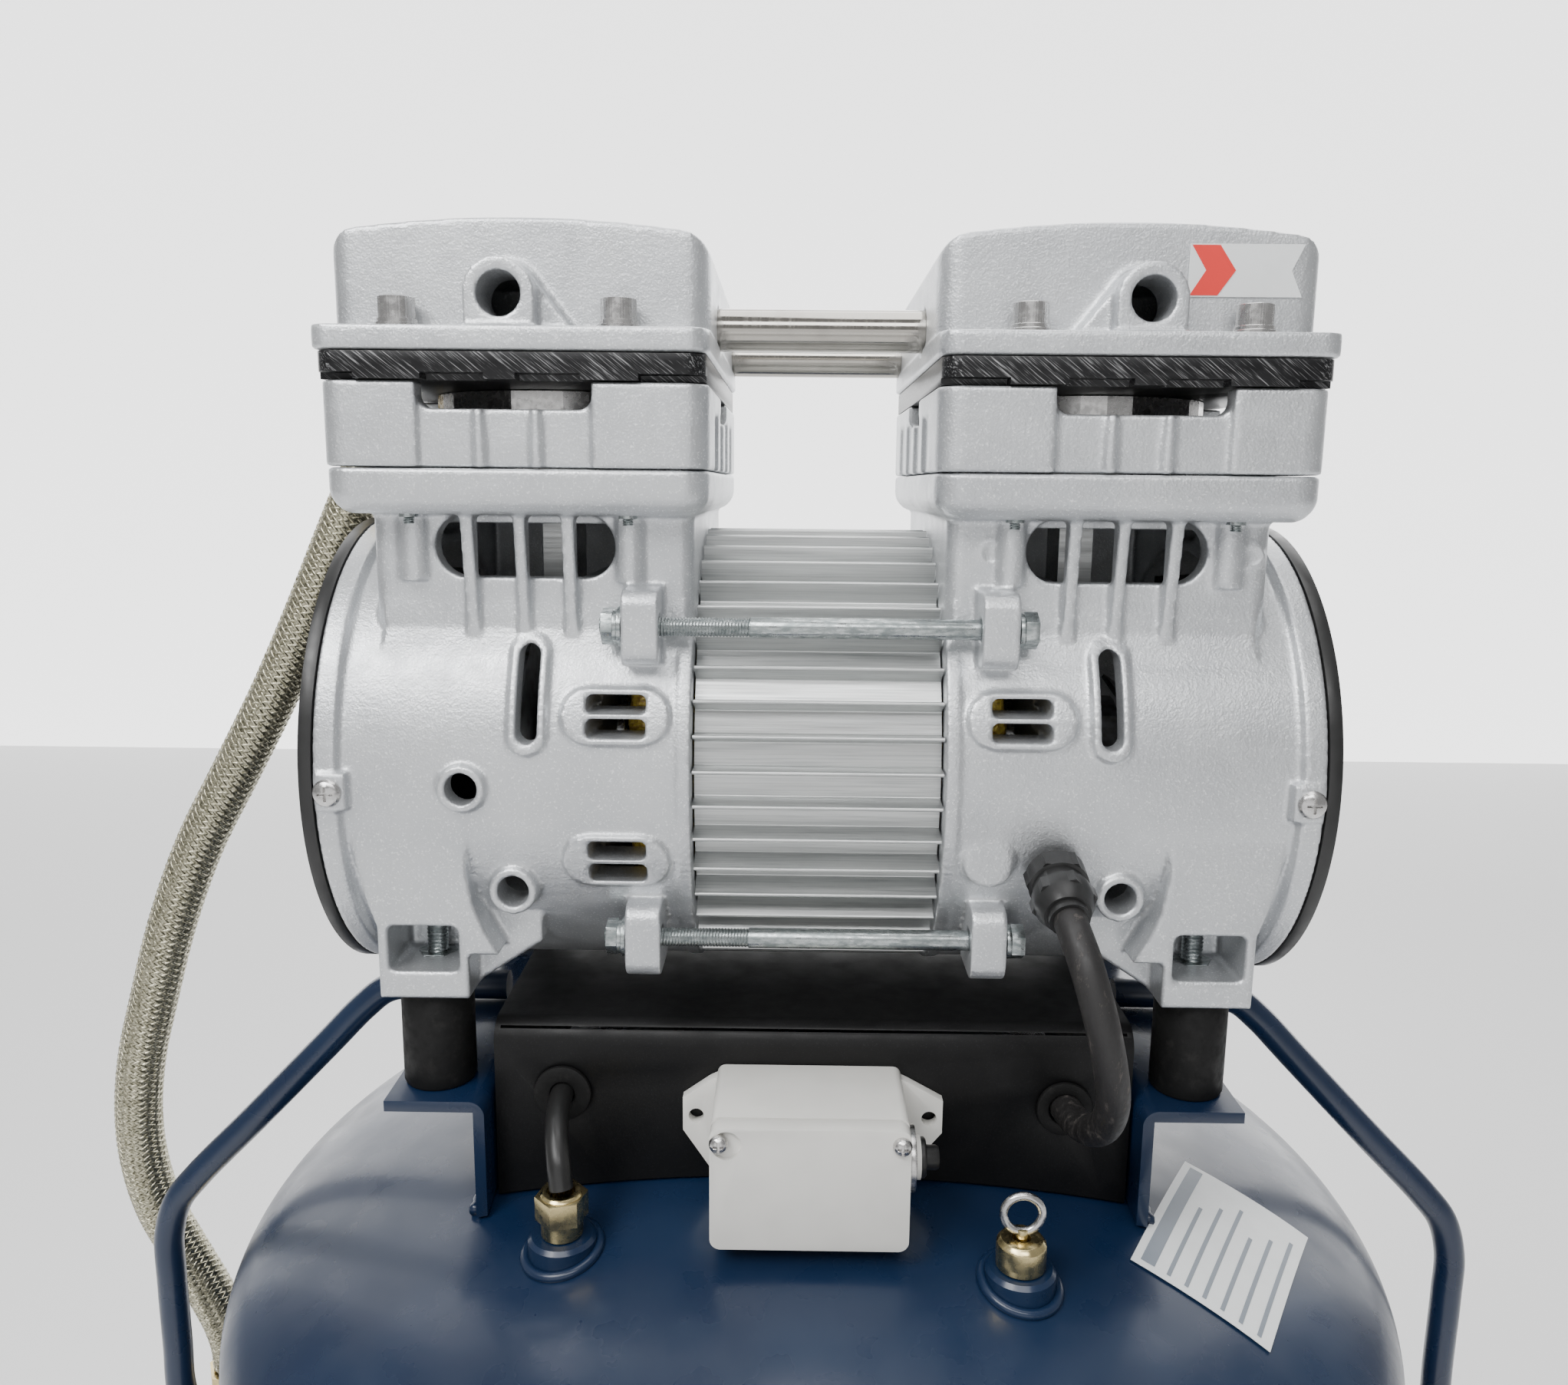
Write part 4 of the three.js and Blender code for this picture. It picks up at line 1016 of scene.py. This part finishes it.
def make_overload_box():
    x0, x1 = -25.0, 23.0
    front, back = OVER_LOW[1], OVER_HIGH[1]
    bottom, top = OVER_LOW[2], OVER_HIGH[2]
    lid = front + 5.0
    ear = OVER_HIGH[0]
    button_spot = (-72.0, -91.0)
    button_hole = 3.35
    ears = [
        (x0 + 2, top - 1), (x0 - 2, top - 3), (-ear, -84), (-ear, -93), (x0, bottom + 1),
        (x1, bottom + 1), (ear, -93), (ear, -84), (x1 + 2, top - 3), (x1 - 2, top - 1),
    ]
    lid_plan = rounded(x0, x1, bottom, top, 2.6)
    base = carved(
        "overload_base", prism("y", rounded(x0, x1, bottom, top, 2.2), lid + 0.35, back),
        adds=[
            prism("y", rounded(x0 + 0.9, x1 - 0.9, bottom + 0.9, top - 0.9, 2), front + 3, lid + 0.5),
            prism("y", lid_plan, front, lid - 0.35),
            prism("y", ears, back - 3, back),
            rod("x", 5.3, x1 - 1, 26.6, button_spot, 48),
        ],
        cuts=[
            rod("x", button_hole, x1 - 4, 30, button_spot, 32),
            *[rod("y", 2.0, back - 5, back + 1, (x, -89), 32) for x in (-30.5, 30.5)],
            rod("y", 3.6, front - 1, front + 1.2, (-21.0, -80.4), 32),
        ])
    finish_piece(base, IVORY, "overload_box", edge=0.55, segments=3)
    neck = [(button_hole, 25), (4.7, 25), (4.9, 25.4), (4.9, 27.6), (4.5, 28), (button_hole, 28)]
    neck = make("button_neck", turned("x", neck, 48, button_spot))
    finish_piece(neck, BLACK, edge=0.1)
    nut = [(5.45, 23.3), (8.2, 23.3), (8.2, 25.2), (5.45, 25.2)]
    ring = make("ring_nut", turned("x", nut, 64, button_spot))
    finish_piece(ring, STEEL, edge=0.3)
    for label, sign in (("right", 1), ("left", -1)):
        cross_head(f"lid_screw_{label}", (sign * 21.8 - 1, front, -79.8), (0, -1, 0), 2.3)
    button = [(0, x1 - 0.4), (3, x1 - 0.4), (3, 30.6), (2.6, 31.3), (0, 31.5)]
    button = make("reset_pin", turned("x", button, 48, button_spot))
    finish_piece(button, BLACK, body="reset_button", node="reset_button", edge=0)


# ---- Hose, cable and fittings ----
HOSE_ROUTE = [
    (-133.5, 14, 79), (-142.5, 14, 59.8), (-153.8, 14, 35), (-165.8, 14, 10.3),
    (-179.4, 14, -14.5), (-193.1, 14, -39.3), (-203.8, 14, -65.3), (-212.3, 14.5, -91.9),
    (-218.3, 15.5, -112), (-222, 17, -132.3), (-222.6, 18.5, -150), (-220, 20, -168),
    (-214, 21.7, -185), (-207, 23, -202), (-202, 23.8, -216), (-200.2, 24, -225), (-200, 24, -231.5),
]
CABLE_ROUTE = [
    (59.2, -74.8, -24.8), (59.5, -80, -26.8), (61.2, -87, -32.8), (64, -90.5, -43),
    (67, -90.5, -55), (69.5, -87, -67), (70, -80, -77), (69, -71, -83.5), (67.5, -62, -86.3),
    (66.4, -52, -87),
]
SENSE_ROUTE = [
    (-66, -50, -84.5), (-66, -58, -84.8), (-65.2, -67, -87), (-63.5, -74, -92.5), (-62.5, -76, -98.6),
]
CHECK = (-200.0, 24.0, -246.0)


def braid(line, radius, strands, pitch, width, name):
    """Flat wire ribbons wound both ways round a line, each weaving over and under."""
    frames = frames_along(line)
    travelled = [0.0]
    for a, b in zip(line, line[1:]):
        travelled.append(travelled[-1] + (b - a).length)
    total = travelled[-1]
    step = 0.6
    count = int(total / step)
    ribbons = []
    for turning in (-1, 1):
        for strand in range(strands):
            points = []
            segment = 0
            for i in range(count + 1):
                along = total * i / count
                while segment < len(travelled) - 2 and travelled[segment + 1] < along:
                    segment += 1
                share = (along - travelled[segment]) / (travelled[segment + 1] - travelled[segment])
                centre = line[segment].lerp(line[segment + 1], share)
                u = frames[segment][0].lerp(frames[segment + 1][0], share)
                v = frames[segment][1].lerp(frames[segment + 1][1], share)
                turn = turning * 2 * math.pi * along / pitch + 2 * math.pi * strand / strands
                weave = turning * math.cos(strands * 2 * math.pi * along / pitch)
                r = radius + 0.16 * weave
                spread = width / radius / 2
                for shift, lift in ((-spread, -0.12), (0, 0.16), (spread, -0.12), (0, -0.25)):
                    t = turn + shift
                    points.append(tuple(centre + (u * math.cos(t) + v * math.sin(t)) * (r + lift)))
            ribbons.append((points, skin(count + 1, 4)))
    made = make(name, merged(*ribbons))
    made.data.shade_smooth()
    return made


def make_hose():
    line = smooth_line(HOSE_ROUTE, 10)
    core = make("hose_core", sweep(line, HOSE_TUBE - 0.35, 48))
    finish_piece(core, BRAID, "discharge_hose", edge=0)
    wires = braid(line, HOSE_TUBE - 0.3, 12, 26.0, 2.5, "hose_wires")
    finish_piece(wires, BRAID)


def make_cable():
    line = smooth_line(CABLE_ROUTE, 10)
    sleeve = make("lead_sleeve", sweep(line, CABLE_TUBE, 40))
    finish_piece(sleeve, SLEEVE, "motor_cable", edge=0)
    at = 3
    cut = line[at:at + 5]
    tie = make("sleeve_tie", sweep(cut, CABLE_TUBE + 0.9, 40))
    finish_piece(tie, BLACK, edge=0)


def make_gland():
    tilt = 0.32
    reach = 62.4 + 2.4
    aim = Matrix.Rotation(math.pi / 2 + tilt, 4, "X")
    aim = Matrix.Translation((59.2, -reach * math.cos(tilt), -reach * math.sin(tilt))) @ aim
    bore = CABLE_TUBE + 0.3
    profile = [
        (bore, 0), (7.4, 0), (7.4, 5.2), (6.6, 5.5), (6.6, 8), (7.3, 8.4), (7.3, 12.4), (5.6, 16),
        (bore, 16),
    ]
    body = turned("z", profile, 64)
    hexes = [
        prism("z", hexagon(8, 0, 0, turn), low, high)
        for turn, low, high in ((0, 0.2, 5), (0.3, 8.5, 12.2))
    ]
    made = carved("gland_body", moved(body, aim))
    nuts = [
        carved(f"gland_nut_{i}", moved(shape, aim), cuts=[moved(rod("z", bore, -1, 20), aim)])
        for i, shape in enumerate(hexes)
    ]
    combine(made, "UNION", nuts)
    finish_piece(made, BLACK, "cable_gland", edge=0.3)


def make_sensing():
    made = make("signal_tube", sweep(smooth_line(SENSE_ROUTE, 8), 3, 32))
    finish_piece(made, BLACK, "sensing_tube", edge=0)
    spot = BUNGS[0][1]
    bottom, top = (corner[2] for corner in node_box("tube_fitting"))
    body = turned("z", [(3.4, bottom), (5.2, bottom), (5.2, top - 0.6), (4.6, top), (3.4, top)], 48, spot)
    made = carved("compression_nut", body)
    nut = carved(
        "nut_flats", prism("z", hexagon(6.6, *spot, 0.26), top - 7, top - 0.8),
        cuts=[rod("z", 3.4, bottom - 1, top + 1, spot)])
    combine(made, "UNION", [nut])
    finish_piece(made, BRASS, "tube_fitting", edge=0.3)


def make_safety_valve():
    spot = BUNGS[1][1]
    low, high = (corner[2] for corner in node_box("safety_valve"))
    profile = [(0, low), (6, low), (6, high - 1.2), (5.0, high), (2.1, high), (2.1, low + 3), (0, low + 3)]
    made = make("relief_body", turned("z", profile, 64, spot))
    finish_piece(made, BRASS, "safety_valve", edge=0.2)
    ring_z = high + 6.2
    stem = rod("z", 1.5, low + 4.2, high + 2.4, spot, 32)
    loop = [Vector((spot[0] + 4.6 * math.cos(t), spot[1], ring_z + 4.6 * math.sin(t)))
            for t in (i * math.pi / 24 for i in range(49))]
    ring = make("pull_ring", ring_solid(loop[:-1], 1.0))
    finish_piece(ring, STEEL, body="safety_pull", node="safety_pull", edge=0)
    made = make("pull_stem", stem)
    finish_piece(made, BRASS, body="safety_pull", edge=0.15)


def ring_solid(loop, radius, count=16):
    """A closed round ring through the points of a flat loop."""
    middle = sum(loop, Vector()) / len(loop)
    normal = (loop[0] - middle).cross(loop[1] - middle).normalized()
    points = []
    for spot in loop:
        out = (spot - middle).normalized()
        points += [tuple(spot + out * a * radius + normal * b * radius) for a, b in circle(1, count)]
    return points, skin(len(loop), count, closed=True)


def make_elbow():
    bend = [(113, 14, 112), (120.6, 14, 112), (123.9, 14, 110.3), (126, 14, 105), (127, 14, 98.5)]
    ferrule = [Vector((127, 14, 98.2)), Vector((133.2, 14, 79.7))]
    grooves = smooth_line(ferrule, 40)

    def crimp(share):
        return 8.0 - (0.5 if 0.15 < share % 0.25 / 0.25 < 0.45 and 0.1 < share < 0.95 else 0)

    made = carved(
        "elbow_body", sweep(smooth_line(bend, 8), 5.5, 48),
        adds=[prism("x", hexagon(7.5, 14, 112, 0.2), COVER_HIGH[0] + 0.3, COVER_HIGH[0] + 4)], side=-1)
    combine(made, "UNION", [sweep(grooves, crimp, 48)], -1)
    finish_piece(made, BRASS, "hose_elbow", edge=0.2, segments=1)


def make_check_valve():
    x, y, z = CHECK
    near, inlet = -TANK_RADIUS - 4.3, node_box("check_valve")[1][2]
    made = carved(
        "nonreturn_body", rod("x", 8, x, near, (y, z), 64),
        adds=[
            prism("x", hexagon(10, y, z, 0.5), near - 9.7, near),
            rod("z", 8, z - 8, inlet, (x, y), 64),
            prism("z", hexagon(9.2, x, y), inlet - 9, inlet),
        ])
    finish_piece(made, BRASS, "check_valve", edge=0.35)


# ---- Tank and base ----
def make_tank():
    wall = 3.0
    seam = 1.2
    drop = 8.0  # how far the drain boss stands below the tank
    outer = []
    for i in range(33):
        turn = i * math.pi / 64
        outer.append((TANK_RADIUS * math.sin(turn), TANK_TOP - DOME * (1 - math.cos(turn))))
    lower = [(r, TANK_BOTTOM + (TANK_TOP - z)) for r, z in reversed(outer)]
    seams = []
    for z in (outer[-1][1] - 22, lower[0][1] + 22):
        seams += [
            (TANK_RADIUS + seam * math.sin(math.pi * i / 6), z + 4 - 8 * i / 6) for i in range(7)
        ]
    boss = [
        (10, TANK_BOTTOM + 0.3), (10, TANK_BOTTOM - drop), (DRAIN_BORE, TANK_BOTTOM - drop),
        (DRAIN_BORE, TANK_BOTTOM + wall),
    ]
    inside = [(r * (TANK_RADIUS - wall) / TANK_RADIUS, z) for r, z in outer]
    inner_low = [(r, TANK_BOTTOM + wall + (TANK_TOP - z)) for r, z in inside if r > 10]
    inner_high = [(r, z - wall) for r, z in reversed(inside)]
    profile = [*outer, *seams, *lower[:-1], *boss, *inner_low, *inner_high]
    shell = make("tank_body", turned("z", profile, 192))
    foot = TANK_TOP - 14
    bung = [(0, foot), (BUNG_RADIUS, foot), (BUNG_RADIUS, -111.5), (7.6, -110.5), (0, -110.5)]
    near = -TANK_RADIUS
    side_bung = [(0, near + 6), (10, near + 6), (10, near - 3.4), (9.3, near - 4), (0, near - 4)]
    bungs = [turned("z", bung, 48, spot) for _, spot in BUNGS]
    combine(shell, "UNION", [*bungs, turned("x", side_bung, 48, CHECK[1:])])
    finish_piece(shell, NAVY, "tank_shell", edge=0, sharp=30)
    for name, spot in BUNGS:
        line = [
            Vector((x, y, dome_top(math.hypot(x, y)) + 0.6))
            for x, y in circle(BUNG_RADIUS + 0.7, 48, *spot)
        ]
        make_bead(f"bung_weld_{name}", ring_solid(line, WELD, 12))


def make_base_ring():
    outer, inner, flange, thick = 125.0, 122.0, 106.0, 3.0
    bottom = RING_BOTTOM

    def top(radius):
        return TANK_BOTTOM + DOME * (1 - math.sqrt(1 - (radius / TANK_RADIUS) ** 2)) - 0.6

    profile = [
        (flange, bottom), (outer, bottom), (outer, top(outer)), (inner, top(inner)),
        (inner, bottom + thick), (flange, bottom + thick),
    ]
    opening = prism("y", rounded(-26, 26, 28 + FLOOR, 54 + FLOOR, 5), 100, 140)
    cuts = [
        moved(opening, Matrix.Rotation(math.radians(120 * (i + 0.5) + 90), 4, "Z")) for i in range(3)
    ]
    made = carved("skirt", turned("z", profile, 160), cuts=cuts)
    finish_piece(made, NAVY, "base_ring", edge=0.5)
    seam = 126.2
    line = [Vector((x, y, top(seam) + 0.2)) for x, y in circle(seam, 144)]
    make_bead("skirt_weld", ring_solid(line, 1.5, 10))


def make_feet():
    profile = [
        (0, FLOOR), (13.2, FLOOR), (14, FLOOR + 1.2), (14, FLOOR + 11.5), (12.4, FLOOR + 14),
        (0, FLOOR + 14),
    ]
    for i, spot in enumerate(circle(115, 3, turn=math.pi / 2), 1):
        made = make(f"foot_pad_{i}", turned("z", profile, 64, spot))
        finish_piece(made, RUBBER, f"rubber_foot_{i}", edge=0.2)


def make_drain():
    z = TANK_BOTTOM - 8
    made = carved(
        "drain_plug", rod("z", DRAIN_SHANK, z - 4, z + 12, count=48),
        adds=[
            rod("z", 6, z - 8, z - 1.3, count=48),
            prism("y", rounded(-14, 14, z - 16, z - 4, 3), -1.6, 1.6),
        ])
    finish_piece(made, BRASS, body="drain_screw", node="drain_screw", edge=0.3)


# ---- Labels ----
def draped(outline_rows, height):
    """A thin sheet over a surface: rows of equally many surface points, raised along +z or -y."""
    rows = len(outline_rows)
    columns = len(outline_rows[0])
    lift = Vector(height)
    points = [tuple(p) for row in outline_rows for p in row]
    points += [tuple(Vector(p) + lift) for row in outline_rows for p in row]
    base = rows * columns
    faces = []
    for i in range(rows - 1):
        for j in range(columns - 1):
            a, b = i * columns + j, i * columns + j + 1
            c, d = b + columns, a + columns
            faces.append((a, b, c, d))
            faces.append((a + base, b + base, c + base, d + base))
    rim = list(range(columns))
    rim += [i * columns + columns - 1 for i in range(1, rows)]
    rim += [(rows - 1) * columns + j for j in range(columns - 2, -1, -1)]
    rim += [i * columns for i in range(rows - 2, 0, -1)]
    for a, b in zip(rim, rim[1:] + rim[:1]):
        faces.append((a, b, b + base, a + base))
    return points, faces


def make_labels():
    face = -50.0
    banner = [(86, 119), (113, 119), (110.2, 125), (113, 131), (86, 131)]
    arrow = [(86.4, 119.3), (93, 119.3), (97, 125), (93, 130.7), (86.4, 130.7), (90, 125)]
    finish_piece(make("intake_label", prism("y", banner, face - 0.45, face - 0.15)), LABEL)
    finish_piece(make("intake_arrow", prism("y", arrow, face - 0.6, face - 0.42)), LABEL_RED)

    def dome_sheet(name, material, x0, x1, y0, y1, lift, thick, turn=0.0):
        rows = []
        middle = Vector((109, -60))
        for i in range(9):
            row = []
            for j in range(13):
                x, y = x0 + (x1 - x0) * j / 12, y0 + (y1 - y0) * i / 8
                spot = middle + Matrix.Rotation(turn, 2) @ Vector((x, y))
                row.append((spot.x, spot.y, dome_top(spot.length) + lift))
            rows.append(row)
        finish_piece(make(name, draped(rows, (0, 0, thick))), material)

    turn = math.radians(58)
    dome_sheet("rating_label", LABEL, -27, 27, -17, 17, 0.5, 0.15, turn)
    dome_sheet("rating_head", LABEL_INK, -25, 25, 11.5, 15, 0.72, 0.08, turn)
    for i in range(6):
        name, end, y = f"rating_line_{i + 1}", 8 + 5 * (i % 3), 8 - i * 4.4
        dome_sheet(name, LABEL_INK, -25, end, y - 0.5, y + 0.5, 0.72, 0.08, turn)


# ---- Build ----
def build():
    make_camera()
    make_hose()
    make_cable()
    for label, side in SIDES:
        make_crankcase(label, side)
        make_block(label, side)
        make_cover(label, side)
        make_valve_plate(label, side)
        make_case_fasteners(label, side)
        make_winding(label, side)
        make_bearing(label, side)
        make_fan(label, side)
        make_end_cap(label, side)
        make_bracket(label, side)
        make_handle(label, side)
        for end, face in FACES:
            make_isolator(label, end, side, face)
        plain_node(f"cylinder_liner_{label}", STEEL)
        plain_node(f"eccentric_{label}", CORE)
        plain_node(f"connecting_rod_{label}", EXTRUSION)
        plain_node(f"piston_cup_{label}", SEAL)
    plain_node("stator_core", CORE)
    plain_node("rotor", CORE)
    plain_node("crankshaft", STEEL)
    make_stator_housing()
    for end, face in FACES:
        for level, sign in (("upper", 1), ("lower", -1)):
            make_tie_rod(level, end, face, sign)
    for (end, _), y in zip(FACES, PIPES):
        make_cross_pipe(end, y)
    make_control_box()
    make_overload_box()
    make_gland()
    make_sensing()
    make_safety_valve()
    make_elbow()
    make_check_valve()
    make_tank()
    make_base_ring()
    make_feet()
    make_drain()
    make_labels()


# ---- Stage ----
def make_floor():
    reach = 3000
    floor = make("floor", cuboid(-reach, reach, -reach, reach, FLOOR - 20, FLOOR - 0.2))
    look = Look("stage_floor", None, (0.93, 0.93, 0.93), 0.7)
    floor.data.materials.append(look.material)


def make_backdrop():
    """A pale, softly glowing wall behind the object."""
    wall = make("backdrop", cuboid(-3500, 3500, 2200, 2220, FLOOR, 4500))
    look = Look("stage_wall", None, (0.9, 0.9, 0.9), 0.8)
    look.set("Emission Color", (1, 1, 1, 1))
    look.set("Emission Strength", 2.2)
    wall.data.materials.append(look.material)


# Name, place, what it points at, size in metres and power in watts.
LIGHTS = (
    ("key", (-520, -560, 760), (0, 0, 20), (0.45, 0.45), 8),
    ("window", (-60, -760, 600), (0, 0, 10), (0.9, 0.25), 4.5),
    ("low", (-100, -1000, -60), (0, 0, 60), (1.2, 0.5), 1.8),
    ("top", (60, 40, 800), (0, 0, 0), (0.7, 0.5), 4),
    ("rear", (300, 1000, 500), (0, 0, 0), (0.9, 0.7), 3.5),
)
SKY_STRENGTH = 0.36


def make_light(name, spot, aim, size, power):
    data = bpy.data.lights.new(name, "AREA")
    data.shape = "RECTANGLE"
    data.size, data.size_y = size
    data.energy = power
    made = bpy.data.objects.new(name, data)
    made.location = place(spot)
    made.rotation_euler = (place(aim) - place(spot)).to_track_quat("-Z", "Y").to_euler()
    bpy.context.scene.collection.objects.link(made)


def make_stage():
    make_floor()
    make_backdrop()
    for light in LIGHTS:
        make_light(*light)
    world = bpy.data.worlds.new("white_room")
    bpy.context.scene.world = world
    world.use_nodes = True
    shade = world.node_tree.nodes["Background"]
    shade.inputs["Color"].default_value = (1, 1, 1, 1)
    shade.inputs["Strength"].default_value = SKY_STRENGTH


build()
make_stage()
